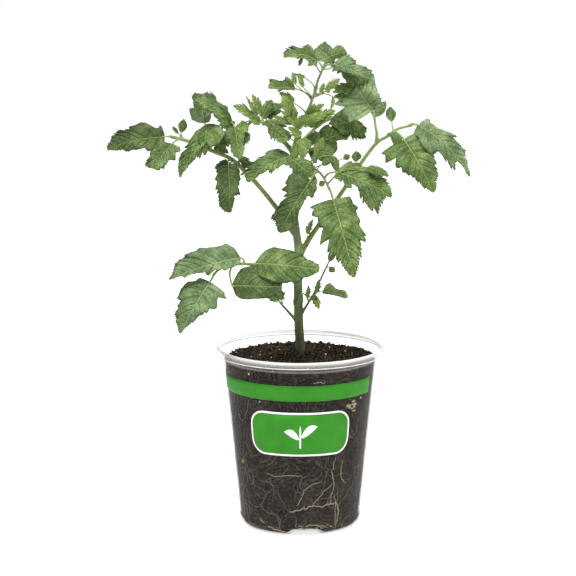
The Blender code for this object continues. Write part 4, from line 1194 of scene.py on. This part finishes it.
def perlite_places(rng, count):
    """Grains on top, and seventy that show through the wall."""
    places = []
    for _ in range(count):
        size = 0.25 + 0.4 * rng.random() ** 1.5
        place = place_on_top(rng, size, 0.1)
        places.append((place, size * (0.7 + 0.5 * rng.random(3)), rng.normal(size=3), rng.random() * 6))
    for _ in range(70):
        z = 72 + 34 * rng.random() ** 0.6 if rng.random() < 0.8 else 20 + 60 * rng.random()
        a, size = rng.random() * 2 * math.pi, 0.25 + 0.5 * rng.random() ** 2
        places.append((place_at_wall(a, z, 1.05), size * np.ones(3), rng.normal(size=3), 1.0))
    return places


def fleck_piece(rng, name, count, angle, height, spread_out):
    """A few chips that lie together against the wall, pressed flat by it."""
    chips = []
    for _ in range(count):
        z = height + rng.normal() * spread_out * 0.8
        a = math.radians(angle - 90 + rng.normal() * spread_out * 1.1)
        size = (0.5 + 1.1 * rng.random()) * np.array([1, 1, 0.7])
        chips.append((place_at_wall(a, z, 0.62), size, np.array([0, 0, 1.0]), rng.random()))
    piece = scatter(name, *lump(15, 0.3), chips)
    points = read_points(piece.data) / MM
    out = np.hypot(points[:, 0], points[:, 1])
    points[:, :2] *= np.minimum(1.0, (wall_radius(points[:, 2]) - 0.3) / out)[:, None]
    write_points(piece.data, points * MM)
    return piece


def fibre_tube(rng):
    """A bent thin fibre that lies on the mix."""
    start = place_on_top(rng, 0.3, 0.4, FIBRE_REACH)
    heading = rng.normal(size=3) * np.array([1, 1, 0.45])
    heading /= np.linalg.norm(heading)
    length = 2.0 + 5.5 * rng.random() ** 1.5
    bend = rng.normal(size=3) * 0.16
    route, place = [], start - heading * length / 2
    for _ in range(6):
        route.append(place.copy())
        heading = heading + bend
        heading /= np.linalg.norm(heading)
        place = place + heading * length / 5
        edge = math.hypot(place[0], place[1])
        if edge > FIBRE_REACH:
            place[:2] *= FIBRE_REACH / edge
    thick = 0.09 + 0.12 * rng.random()
    return ribbon_tube(route, [thick * share for share in (0.5, 1, 1, 1, 0.8, 0.25)], 3)


class TOMATO_OT_soil(bpy.types.Operator):
    """The potting mix: its body inside the pot, and loose crumbs, fibres and perlite on top."""
    bl_idname = "tomato.soil"
    bl_label = "Potting mix"

    def execute(self, context):
        settings = context.scene.tomato_soil
        body = mix_body()
        body.data.materials.append(peat_mix("milled_peat_and_bark", [
            (0.42, "#040303"), (0.66, "#0b0907"), (0.84, "#191511"), (0.99, "#423930")]))
        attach(body, "root")
        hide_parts("potting_mix")

        rng = np.random.default_rng(7)
        peat = peat_mix("loose_peat_crumbs", [
            (0.42, "#050403"), (0.62, "#100b08"), (0.8, "#211912"), (0.98, "#574a36")])
        for number, seed in enumerate((11, 12, 13), 1):
            places = crumb_places(rng, settings.crumbs // 3)
            crumbs = scatter(f"peat_crumbs_{number}", *lump(seed, 0.2), places)
            crumbs.data.materials.append(peat)
            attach(crumbs, "root")

        perlite = scatter("perlite_grains", *lump(14, 0.14), perlite_places(rng, settings.perlite))
        perlite.data.materials.append(plain_grain(
            "expanded_perlite", [(0.3, "#b9b4a8"), (0.6, "#e9e6dd")], 1500.0, 0.85))
        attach(perlite, "root")

        for name, count, angle, height, spread_out, tint in (
                ("bark_flecks", 9, 47.0, 82.3, 2.2, [(0.3, "#8a775a"), (0.7, "#c0ac88")]),
                ("straw_fleck", 4, -60.0, 44.3, 0.9, [(0.3, "#6e6a1e"), (0.7, "#a39c38")])):
            flecks = fleck_piece(rng, name, count, angle, height, spread_out)
            flecks.data.materials.append(plain_grain(name + "_grain", tint, 900.0, 0.8))
            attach(flecks, "root")

        tubes = [fibre_tube(rng) for _ in range(settings.fibres)]
        dark_tubes = [tube for index, tube in enumerate(tubes) if index % 3]
        for name, some, matter, tint, roughness in (
                ("pale_fibres", tubes[::3], "coir_fibre", [(0.3, "#6b4f31"), (0.7, "#a08259")], 0.8),
                ("dark_fibres", dark_tubes, "moss_peat_fibre", [(0.3, "#2a1b10"), (0.7, "#5b422b")], 0.85)):
            fibres = join_tubes(name, some)
            fibres.data.materials.append(plain_grain(matter, tint, 900.0, roughness))
            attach(fibres, "root")
        return {"FINISHED"}


# ---- roots -----------------------------------------------------------------------
# The clearest roots: (thickness, [(mm to the right of the front along the wall, height)]).
NAMED_ROOTS = [
    (0.34, [(25.5, 6), (25.8, 10), (26.4, 14), (25.6, 19), (24, 20.5), (20, 20), (14, 19.2), (8, 20),
            (3, 18.5), (-3, 17), (-6, 16)]),
    (0.24, [(23.6, 3.6), (24.2, 9), (23.6, 14), (24.4, 19), (23, 24)]),
    (0.30, [(-4, 4.6), (2, 5.2), (8, 5.0), (14, 5.4), (19, 5.0)]),
    (0.26, [(-3, 6.6), (3, 6.0), (8, 7.2), (13, 6.2), (18, 6.4), (22, 4.4)]),
    (0.36, [(-29, 9), (-25, 6.6), (-20, 5), (-14, 3.4), (-8, 2.2)]),
    (0.24, [(20, 20), (21, 27), (23, 33), (21.5, 39), (22.5, 46), (24, 52)]),
    (0.20, [(22, 34), (16, 29), (12, 25), (9, 22), (8, 19)]),
    (0.20, [(14, 36), (6, 33), (2, 29), (0, 24), (-2, 20)]),
    (0.18, [(30, 48), (28, 42), (29, 36), (33, 32)]),
    (0.18, [(-22, 40), (-14, 39.4), (-6, 40.2), (2, 39.6)]),
    (0.16, [(-30, 66), (-25, 65), (-21, 65.6)]),
    (0.20, [(8, 100.2), (12, 101), (16, 100.6)]),
]


ROOT_DEPTH = 0.42               # from the wall's outside to the outside of a root
ROOT_STEP = 1.2
ROOT_LOW, ROOT_HIGH = 1.5, 105


def on_wall(along, z, depth):
    """A place inside the wall, so many mm round it from the front, and on the corner under it."""
    angle = along / max(34.0, wall_radius(max(z, LOW)))
    if z < FOOT[1]:
        inside = math.sqrt(max(0.0, 1 - ((FOOT[1] - z) / FOOT[1]) ** 2))
        radius = BASE_FLAT + FOOT[1] * inside - depth
    else:
        radius = wall_radius(z) - depth
    return Vector((radius * math.sin(angle), -radius * math.cos(angle), z))


def named_root(rng, thick, route):
    path = smooth_route([(a, 0, z) for a, z in route], 7)
    places = [on_wall(p.x + rng.gauss(0, 0.35), p.z + rng.gauss(0, 0.35), ROOT_DEPTH + thick) for p in path]
    radii = [thick * (0.75 + 0.25 * math.sin(3 * k / len(path))) for k in range(len(path))]
    radii[0] = radii[-1] = thick * 0.3
    return ribbon_tube(places, radii, 5)


def wandering_root(rng, low):
    """A faint root that wanders down the wall and turns back at the base and the rim."""
    along = rng.uniform(-150, 150)
    z = rng.uniform(3, 52) if low else rng.uniform(20, 98)
    heading = rng.gauss(-1.57, 0.9)
    thick = rng.uniform(0.06, 0.17)
    length = rng.uniform(14, 60)
    route, turn = [], 0.0
    for _ in range(int(length / ROOT_STEP)):
        route.append((along, z))
        turn = turn * 0.75 + rng.gauss(0, 0.16)
        heading += turn
        along += ROOT_STEP * math.cos(heading)
        z += ROOT_STEP * math.sin(heading)
        if z < ROOT_LOW or z > ROOT_HIGH:
            heading = -heading * 0.6
            z = min(max(z, ROOT_LOW), ROOT_HIGH)
    places = [on_wall(a, h, ROOT_DEPTH + thick) for a, h in route]
    return ribbon_tube(places, [thick * (1 - 0.6 * k / len(route)) for k in range(len(route))])


class TOMATO_OT_roots(bpy.types.Operator):
    """Fine pale roots that have grown out to the wall of the pot."""
    bl_idname = "tomato.roots"
    bl_label = "Roots"

    def execute(self, context):
        rng = random.Random(21)
        bright = [named_root(rng, thick, route) for thick, route in NAMED_ROOTS]
        # One in four starts higher up.
        faint = [wandering_root(rng, index % 4 != 0) for index in range(context.scene.tomato_soil.roots)]
        for name, tubes, stops in (
                ("clear_roots", bright, [(0.3, "#85745a"), (0.7, "#c2b193")]),
                ("faint_roots", faint, [(0.3, "#4b433b"), (0.7, "#988c7b")])):
            roots = join_tubes(name, tubes)
            points = read_points(roots.data) / MM
            lift_over_pads(points, 0.8, 5.0)
            write_points(roots.data, points * MM)
            smooth(roots)
            roots.data.materials.append(plain_grain(name + "_bark", stops, 700.0, 0.7))
            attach(roots, "root")
        return {"FINISHED"}


# ---- stem and stalks -------------------------------------------------------------
# Colours of the main stem by height, mm: its own olive and brown tones, and painted shade that darkens its
# lower part, below about 130 mm.
STEM_TONES_AND_SHADE = [
    (70, "#4c4c34"), (112, "#4f5238"), (122, "#4b5433"), (140, "#52643b"), (160, "#697c52"),
    (172, "#6f7f5a"), (182, "#6d7652"), (200, "#74785a"), (225, "#7c8258"), (240, "#8a985c"),
    (254, "#8fa864")]


def tone_between(stops, place):
    places = [p for p, _ in stops]
    colours = np.array([linear(c)[:3] for _, c in stops])
    return np.array([np.interp(place, places, colours[:, k]) for k in range(3)])


def plant_routes():
    """The stem and every leaf stalk as (name, points, radii, colours)."""
    stem = smooth_route(STEM_ROUTE, 8)
    radii = np.interp(np.linspace(0, len(STEM_RADII) - 1, len(stem)), range(len(STEM_RADII)), STEM_RADII)
    routes = [("main_stem", stem, list(radii), [tone_between(STEM_TONES_AND_SHADE, p.z) for p in stem])]
    for name, (first, last, points, low, high) in STALKS.items():
        path = smooth_route(points, 6)
        lengths = np.cumsum([0.0] + [(b - a).length for a, b in zip(path, path[1:])])
        # Each stalk swells where it leaves the stem.
        radii = np.linspace(first, last, len(path)) + first * 0.55 * np.exp(-(lengths - 1.5).clip(0) / 3.0)
        colours = [tone_between([(0, low), (1, high)], k / (len(path) - 1)) for k in range(len(path))]
        routes.append((name, path, list(radii), colours))
    return routes


def small_stalks(routes):
    """The small stalk of every blade, grown out of the stalk that carries it, in the same form."""
    hosts = {name: (path, colours) for name, path, _, colours in routes}
    end = np.array(linear("#9ab266")[:3])
    made = []
    for host, name, base, tip, width, *_ in all_leaflets():
        path, colours = hosts[host]
        base, tip = Vector(base), Vector(tip)
        # It leaves from the nearest place on its host, or a little nearer to the foot.
        near = min(range(len(path)), key=lambda k: (path[k] - base).length + 0.05 * k)
        index = max(0, near - 2)
        start = path[index]
        reach = (base - start).length
        if reach < 0.8:
            continue
        ahead = (tip - base).normalized()
        middle = start.lerp(base, 0.5) - ahead * reach * 0.12 + Vector((0, 0, 0.06 * reach))
        route = smooth_route([start, middle, base, base + ahead * min(width * 0.12, 2.2)], 5)
        thick = 0.42 + 0.014 * width
        radii = np.linspace(thick * 1.15, thick * 0.72, len(route))
        tones = [colours[index] + (end - colours[index]) * k / (len(route) - 1) for k in range(len(route))]
        made.append((name + "_stalk", route, list(radii), tones))
    return made


def stalk_curve(name, path, radii):
    """A round curve along the path, with its own radius at each point."""
    curve = bpy.data.curves.new(name, "CURVE")
    curve.dimensions = "3D"
    curve.bevel_depth = MM
    curve.bevel_resolution = 3
    curve.use_fill_caps = True
    spline = curve.splines.new("POLY")
    spline.points.add(len(path) - 1)
    for point, place, radius in zip(spline.points, path, radii):
        point.co = (*(place * MM), 1.0)
        point.radius = radius
    piece = bpy.data.objects.new(name, curve)
    bpy.context.scene.collection.objects.link(piece)
    return piece


def paint_and_roughen(skin, samples):
    """Gives each point the tones of the nearest samples (place, radius, colour), and a slight unevenness."""
    tree = KDTree(len(samples))
    for index, (place, _, _) in enumerate(samples):
        tree.insert(place, index)
    tree.balance()
    points = read_points(skin.data) / MM
    tones = np.ones((len(points), 4))
    for index, point in enumerate(points):
        total, mixed = 0.0, np.zeros(3)
        place = Vector(point)
        for _, found, distance in tree.find_n(place, 4):
            weight = 1.0 / (0.2 + max(0.0, distance - samples[found][1] * 0.8)) ** 2
            total += weight
            mixed += weight * samples[found][2]
        tones[index, :3] = mixed / total
        rough = 0.10 * noise.noise(place * 0.9) + 0.06 * noise.noise(place * Vector((2.4, 2.4, 0.7)))
        points[index] += np.array(skin.data.vertices[index].normal) * rough
    write_points(skin.data, points * MM)
    layer = skin.data.attributes.new("tone", "FLOAT_COLOR", "POINT")
    layer.data.foreach_set("color", tones.ravel())


class TOMATO_OT_stems(bpy.types.Operator):
    """The main stem, the leaf stalks and the small stalks of the blades, grown together into one skin."""
    bl_idname = "tomato.stems"
    bl_label = "Stem and stalks"

    def execute(self, context):
        routes = plant_routes()
        routes += small_stalks(routes)
        deselect()
        pieces = [stalk_curve(name, path, radii) for name, path, radii, _ in routes]
        samples = [sample for _, path, radii, colours in routes for sample in zip(path, radii, colours)]
        use_only(*pieces)
        bpy.ops.object.convert(target="MESH")
        bpy.ops.object.join()
        skin = context.object
        skin.name = skin.data.name = "stem_and_stalks"
        grow = skin.modifiers.new("grown_together", "REMESH")
        grow.mode = "VOXEL"
        grow.voxel_size = context.scene.tomato_plant.stem_voxel
        soften = skin.modifiers.new("soften", "SMOOTH")
        soften.factor = 0.5
        soften.iterations = 4
        apply_modifiers(skin)
        paint_and_roughen(skin, samples)
        smooth(skin)
        skin.data.materials.clear()
        skin.data.materials.append(stem_skin())
        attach(skin, "root")
        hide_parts("main_stem", *STALKS)
        return {"FINISHED"}


# ---- leaves ----------------------------------------------------------------------
def all_leaflets():
    """(host, name, base, tip, width, face, form, changes) of every blade, small ones included."""
    rows = [(host, name + "_leaflet", *rest) for host, leaves in LEAFLETS.items() for name, *rest in leaves]
    return rows + [(host, name + "_blade", *rest) for host, name, *rest in SMALL_LEAVES]


def smooth_step(value, low, high):
    t = np.clip((value - low) / (high - low), 0, 1)
    return t * t * (3 - 2 * t)


def envelope(form, u):
    """Half width of a blade along its midrib, before its margin is cut, from 0 to 1."""
    if form == "oval":
        return 0.9 * np.sin(math.pi * np.clip(u, 0, 1) ** 0.8) ** 0.85
    rise = np.sqrt(np.clip((u + 0.004) / (0.10 if form == "lobed" else 0.16), 0, 1))
    if form == "plain":
        return np.minimum(rise, 1) * np.clip(1 - (np.clip(u - 0.3, 0, 1) / 0.7) ** 1.7, 0, 1)
    return np.minimum(rise, 1) * np.clip(1 - (np.clip(u - 0.1, 0, 1) / 0.9) ** 1.25, 0, 1) ** 0.95


def uneven_gain(rng, phase, row):
    """A slow change of the half width along each side. Row is 1 on the right side and 0 on the left."""
    gains = 1 + rng.normal(0, 0.07, (2, 16))
    place = phase - 0.5
    low = np.clip(np.floor(place).astype(int), 0, 14)
    blend = smooth_step(place - low, 0.3, 0.7)
    return gains[row, low] * (1 - blend) + gains[row, low + 1] * blend


def cut_lobes(rng, shape, phase, row, u):
    """The share that stays of the half width where the margin is cut in between two laterals."""
    p = phase % 1
    cut = np.where(p < 0.6, (0.6 - p) / 0.6, (p - 0.6) / 0.4) ** shape["point"]
    depths = shape["depth"] * (0.55 + 0.75 * rng.random((2, 17)))
    # One cut near the foot on each side goes much deeper than the rest.
    for one_side in (0, 1):
        depths[one_side, rng.integers(1, 4)] = min(0.62, shape["depth"] * 2.0)
    depth = depths[row, np.clip(np.rint(phase).astype(int), 0, 16)]
    depth = depth * (0.3 + 0.7 * smooth_step(u, 0.0, 0.12)) * (1 - 0.3 * smooth_step(u, 0.6, 1.0))
    return 1 - depth * cut


def saw_teeth(rng, phase, row, seed):
    """The small teeth, about two to a lateral, from 0 at a tooth's point to about 1 between two."""
    tooth = phase * 2 + 0.3 + 0.16 * np.sin(phase * 2.3 + seed)
    q = tooth % 1
    saw = np.where(q < 0.68, (0.68 - q) / 0.68, (q - 0.68) / 0.32) ** 1.25
    return saw * rng.uniform(0.25, 1.25, (2, 40))[row, np.clip(np.floor(tooth).astype(int), 0, 39)]


def lean_of(form, shape, u):
    """How far the laterals lean forward, for the blade itself and for the drawn outlines."""
    if form == "oval":
        return 0.3 * (1 - u), (0.15 + 0.9 * smooth_step(u, 0.0, 0.5)) * 1.12
    if form == "plain":
        return 1.05 * smooth_step(u, -0.05, 0.34), (0.15 + 0.9 * smooth_step(u, 0.0, 0.5)) * 1.12
    # Most of all past the first quarter; the outlines are drawn with less lean there.
    lean = -0.12 + 1.15 * smooth_step(u, 0.0, shape.get("ease", 0.26))
    return lean, (-0.12 + 1.15 * smooth_step(u, 0.0, 0.5)) * 1.12


def blade_frame(base, tip, face, arch, t):
    """The midrib's places, with the directions across and out of the blade there."""
    length = np.linalg.norm(tip - base)
    along = (tip - base) / length
    first_up = face - along * face.dot(along)
    first_up /= np.linalg.norm(first_up)
    p0, p3 = base, tip
    p1 = base + along * length * 0.33 + first_up * arch * 1.05
    p2 = base + along * length * 0.70 + first_up * arch
    t = t[:, None]
    middle = (1 - t) ** 3 * p0 + 3 * (1 - t) ** 2 * t * p1 + 3 * (1 - t) * t ** 2 * p2 + t ** 3 * p3
    ahead = 3 * (1 - t) ** 2 * (p1 - p0) + 6 * (1 - t) * t * (p2 - p1) + 3 * t ** 2 * (p3 - p2)
    ahead /= np.linalg.norm(ahead, axis=1)[:, None]
    up = first_up - ahead * (ahead @ first_up)[:, None]
    up /= np.linalg.norm(up, axis=1)[:, None]
    return middle, np.cross(ahead, up), up


def write_maps(mesh, maps):
    """Replaces the UV maps: name to the two values of each point."""
    corner = np.empty(len(mesh.loops), dtype=np.int64)
    mesh.loops.foreach_get("vertex_index", corner)
    while mesh.uv_layers:
        mesh.uv_layers.remove(mesh.uv_layers[0])
    for name, (first, second) in maps.items():
        layer = mesh.uv_layers.new(name=name)
        layer.data.foreach_set("uv", np.stack([first[corner], second[corner]], axis=1).ravel())


VEIN_BOW = (0.85, 0.2, 0.25)    # how a lateral bows forward: shares of the 1st, 2nd and 5th power
TIP_WIDE = 1.1                  # blades wider than this narrow down to it towards the tip


def make_blade(name, base, tip, width, face, form, changes, settings, materials):
    """A leaf blade on a grid whose cross lines follow the lateral veins out to the teeth."""
    shape = dict(FORMS[form], **changes)
    seed = sum(ord(c) * (k + 3) for k, c in enumerate(name))
    rng = np.random.default_rng(seed)
    base, tip, face = np.array(base, float), np.array(tip, float), np.array(face, float)
    length = float(np.linalg.norm(tip - base))
    cell = settings.leaf_cell / MM
    rows = int(np.clip(length / cell, 18, 104))
    columns = int(np.clip(width / cell, 10, 54)) // 2 * 2
    deselect()
    bpy.ops.mesh.primitive_grid_add(x_subdivisions=columns, y_subdivisions=rows, size=1.0)
    piece = bpy.context.object
    piece.name = piece.data.name = name
    flat = read_points(piece.data)
    u = flat[:, 1] + 0.5        # along the midrib, 0 to 1
    s = flat[:, 0] * 2          # across, -1 to 1
    a = np.abs(s)
    side = np.where(s >= 0, 1.0, -1.0)
    row = (side > 0).astype(int)
    wide = shape.get("wide", TIP_WIDE)
    half = width / 2 * wide
    # The laterals are counted along the midrib, and those of the two sides alternate.
    phase = shape["veins"] * np.clip(u, 0, 1) ** 1.12 + 0.42 + np.where(side > 0, 0.0, 0.42)

    gain = uneven_gain(rng, phase, row)
    lobes = cut_lobes(rng, shape, phase, row, u)
    saw = saw_teeth(rng, phase, row, seed)
    cut_share = min(1.0, shape["depth"] / 0.25)
    share = envelope(form, u) * gain * lobes * (1 - 0.2 * cut_share * saw)
    lean, drawn_lean = lean_of(form, shape, u)
    tip_grow = 1 - (1 - TIP_WIDE / wide) * smooth_step(u, 0.5, 0.9)
    bite = 0.24 * cut_share
    for outline, wanted in zip(OUTLINES.get(name.split("_leaflet")[0], ()), (side > 0, side <= 0)):
        if outline is None:
            continue
        places, shares = zip(*outline)
        drawn = np.interp(u, places, shares)
        at = np.clip(u + (lean * sum(VEIN_BOW) - drawn_lean) * half * drawn / length, 0, 1)
        drawn = np.interp(at, places, shares)
        share = np.where(wanted, drawn * tip_grow * (1 - bite * saw) * (1 + 0.4 * bite), share)
    w = half * np.clip(share, 0.02, 2.2) * np.clip(0.25 + u / 0.05, 0, 1)
    w = np.where(u > 0.999, 0.05, w)

    reach = a * w
    x = u * length + lean * w * (VEIN_BOW[0] * a + VEIN_BOW[1] * a * a + VEIN_BOW[2] * a ** 5)
    x = x - np.clip(x - length * 0.985, 0, None) * 0.75
    y = side * reach
    t = x / length
    middle, across, up = blade_frame(base, tip, face, shape["arch"] * length, t)

    fold = math.radians(shape["fold"])
    bend = (shape["curl"] + 0.25 * smooth_step(u, 0.5, 1)) * reach / half
    arc = np.where(bend > 1e-4, np.sin(bend) / np.maximum(bend, 1e-4), 1.0)
    drop = np.where(bend > 1e-4, reach * (1 - np.cos(bend)) / np.maximum(bend, 1e-4), 0.0)
    lateral = y * math.cos(fold) * arc
    height = reach * math.sin(fold) - drop

    # Each field between two laterals swells, with a sharp crease along the vein and a slight one between.
    size = min(1.0, width / 18) * shape.get("quilt", 0.5 if form == "plain" else 1.0)
    pucker = settings.pucker / MM * size
    p = phase % 1
    between = np.abs(np.cos(math.pi * p)) ** 0.75 - 0.42 * np.exp(-(np.minimum(p, 1 - p) / 0.09) ** 2)
    window = smooth_step(a, 0.04, 0.3) * (1 - 0.25 * smooth_step(a, 0.75, 1.0))
    height = height + pucker * 1.3 * (between - 0.5) * window * np.clip(w / (0.5 * half), 0, 1)
    height = height - 0.35 * size * np.exp(-(reach / 0.8) ** 2)
    rough = np.array([
        noise.noise(Vector((fx * 0.42, fy * 0.42, seed * 0.37))) * 0.55
        + noise.noise(Vector((fx * 0.95, fy * 0.95, seed * 0.21))) * 0.32
        for fx, fy in zip(x, y)])
    height = height + rough * pucker * 1.1 * smooth_step(a, 0.0, 0.25)
    wave = np.sin(2 * math.pi * (phase * 0.5 + rng.random()))
    wave = wave + 0.6 * np.sin(2 * math.pi * (phase + rng.random()))
    height = height + a ** 2 * wave * w * 0.085 * (0.4 if form == "oval" else 1)
    write_points(piece.data, (middle + across * lateral[:, None] + up * height[:, None]) * MM)

    midrib = 0.34 * math.sqrt(width / 25) * (1.25 - 0.75 * np.clip(t, 0, 1))
    write_maps(piece.data, {"veins": (phase, s), "flat": (x / 100, y / 100), "rib": (reach / midrib, t)})
    young = bool(shape["young"])
    piece.data.materials.append(materials["young" if young else shape.get("skin", "leaf")])
    piece.data.materials.append(materials["young_under" if young else "under"])
    skin = piece.modifiers.new("blade", "SOLIDIFY")
    skin.thickness = settings.leaf_thickness
    skin.offset = -1.0
    skin.material_offset = 1
    skin.material_offset_rim = 0
    apply_modifiers(piece)
    smooth(piece)
    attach(piece, "root")
    return piece


class TOMATO_OT_leaves(bpy.types.Operator):
    """Every leaflet, each a puckered and toothed blade that hangs from its small stalk."""
    bl_idname = "tomato.leaves"
    bl_label = "Leaves"

    def execute(self, context):
        settings = context.scene.tomato_plant
        # The pale and deep skins are lighter and darker copies of the leaf skin, partly the leaves' own tone
        # and partly painted light and painted shade; the brightest skin is painted light for a leaf that
        # lies in shade.
        materials = {
            key: leaf_skin(name, *tones, key in ("under", "young_under"), sheen)
            for key, name, tones, sheen in (
                ("leaf", "tomato_leaf_upper_skin", ("#233413", "#4e672d", "#8aa25f", "#b2c26c"), 0.12),
                ("under", "tomato_leaf_lower_skin", ("#42552f", "#5d7246", "#7b8f60", "#9cae78"), 0.15),
                ("pale", "tomato_leaf_paler_skin", ("#2b3d22", "#5a7243", "#93a979", "#b7c78b"), 0.15),
                ("dusty", "tomato_leaf_bloomed_skin", ("#3c5230", "#738c59", "#a9be89", "#c0cf8c"), 0.2),
                ("deep", "tomato_leaf_deeper_skin", ("#1b2910", "#3f5424", "#6d8549", "#9cae64"), 0.1),
                ("young", "young_leaf_upper_skin", ("#39501e", "#6b853b", "#9db25c", "#b9c870"), 0.15),
                ("young_under", "young_leaf_lower_skin", ("#567036", "#708c45", "#8ba45a", "#a4b870"), 0.2))}
        measured = {name + "_leaflet" for leaves in LEAFLETS.values() for name, *_ in leaves}
        for _, name, base, tip, width, face, form, changes in all_leaflets():
            piece = make_blade(name + "_skin", base, tip, width, face, form, changes, settings, materials)
            if name in measured:
                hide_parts(name)
        return {"FINISHED"}


# ---- stage -----------------------------------------------------------------------
# The camera, in metres, millimetres of lens and degrees below the level.
CAMERA_PLACE = (-0.0076, -1.5, 0.432)
CAMERA_LENS = 150.9
CAMERA_DIP = 10.58
AIM = (0, 0, 0.18)              # what the lights look at


def soft_light(name, place, size, power):
    bpy.ops.object.light_add(type="AREA", location=place)
    lamp = bpy.context.object
    lamp.name = name
    lamp.data.shape = "DISK"
    lamp.data.size = size
    lamp.data.energy = power
    lamp.rotation_euler = (Vector(AIM) - Vector(place)).to_track_quat("-Z", "Y").to_euler()


class TOMATO_OT_stage(bpy.types.Operator):
    """Plain pale floor, soft studio light, and the camera."""
    bl_idname = "tomato.stage"
    bl_label = "Stage"

    def execute(self, context):
        scene = context.scene
        settings = scene.tomato_stage
        deselect()
        bpy.ops.mesh.primitive_plane_add(size=40.0, location=(0, 0, 0))
        floor = context.object
        floor.name = floor.data.name = "floor"
        floor.data.materials.append(studio_card("backlit_white_card", settings.card))

        world = bpy.data.worlds.new("white_room")
        scene.world = world
        world.use_nodes = True
        sky = world.node_tree.nodes["Background"]
        sky.inputs["Color"].default_value = (1, 1, 1, 1)
        sky.inputs["Strength"].default_value = settings.sky

        soft_light("key_light", (-0.35, -0.6, 1.5), 0.55, settings.key_power)
        soft_light("right_fill", (1.1, -0.6, 0.7), 0.6, settings.key_power * 0.3)
        soft_light("back_light", (0.3, 1.2, 1.1), 0.8, settings.key_power * 0.45)

        camera_data = bpy.data.cameras.new("camera")
        camera_data.sensor_width = 36.0
        camera_data.lens = CAMERA_LENS
        camera_data.clip_end = 100.0
        camera = bpy.data.objects.new("camera", camera_data)
        camera.location = CAMERA_PLACE
        camera.rotation_euler = (math.radians(90 - CAMERA_DIP), 0, 0)
        scene.collection.objects.link(camera)
        scene.camera = camera
        scene.view_settings.view_transform = "Standard"
        return {"FINISHED"}


class TOMATO_PT_panel(bpy.types.Panel):
    """Settings and steps of the tomato plant, in the order they run."""
    bl_label = "Tomato Plant"
    bl_idname = "TOMATO_PT_panel"
    bl_space_type = "VIEW_3D"
    bl_region_type = "UI"
    bl_category = "Tomato Plant"

    def draw(self, context):
        for title, group, steps in (
                ("Pot", "tomato_pot", ("tomato.pot", "tomato.label")),
                ("Potting mix", "tomato_soil", ("tomato.soil", "tomato.roots")),
                ("Plant", "tomato_plant", ("tomato.stems", "tomato.leaves")),
                ("Stage", "tomato_stage", ("tomato.stage",))):
            box = self.layout.box()
            box.label(text=title)
            settings = getattr(context.scene, group)
            for name in type(settings).__annotations__:
                box.prop(settings, name)
            for step in steps:
                box.operator(step)


CLASSES = (
    TomatoPotSettings, TomatoSoilSettings, TomatoPlantSettings, TomatoStageSettings,
    TOMATO_OT_pot, TOMATO_OT_print, TOMATO_OT_soil, TOMATO_OT_roots, TOMATO_OT_stems, TOMATO_OT_leaves,
    TOMATO_OT_stage, TOMATO_PT_panel,
)
GROUPS = {
    "tomato_pot": TomatoPotSettings, "tomato_soil": TomatoSoilSettings,
    "tomato_plant": TomatoPlantSettings, "tomato_stage": TomatoStageSettings,
}


def register():
    for item in CLASSES:
        bpy.utils.register_class(item)
    for name, group in GROUPS.items():
        setattr(bpy.types.Scene, name, bpy.props.PointerProperty(type=group))


def unregister():
    for name in GROUPS:
        delattr(bpy.types.Scene, name)
    for item in reversed(CLASSES):
        bpy.utils.unregister_class(item)


def main():
    register()
    bpy.ops.tomato.stage()
    bpy.ops.tomato.pot()
    bpy.ops.tomato.label()
    bpy.ops.tomato.soil()
    bpy.ops.tomato.roots()
    bpy.ops.tomato.stems()
    bpy.ops.tomato.leaves()
    deselect()


if __name__ == "__main__":
    main()
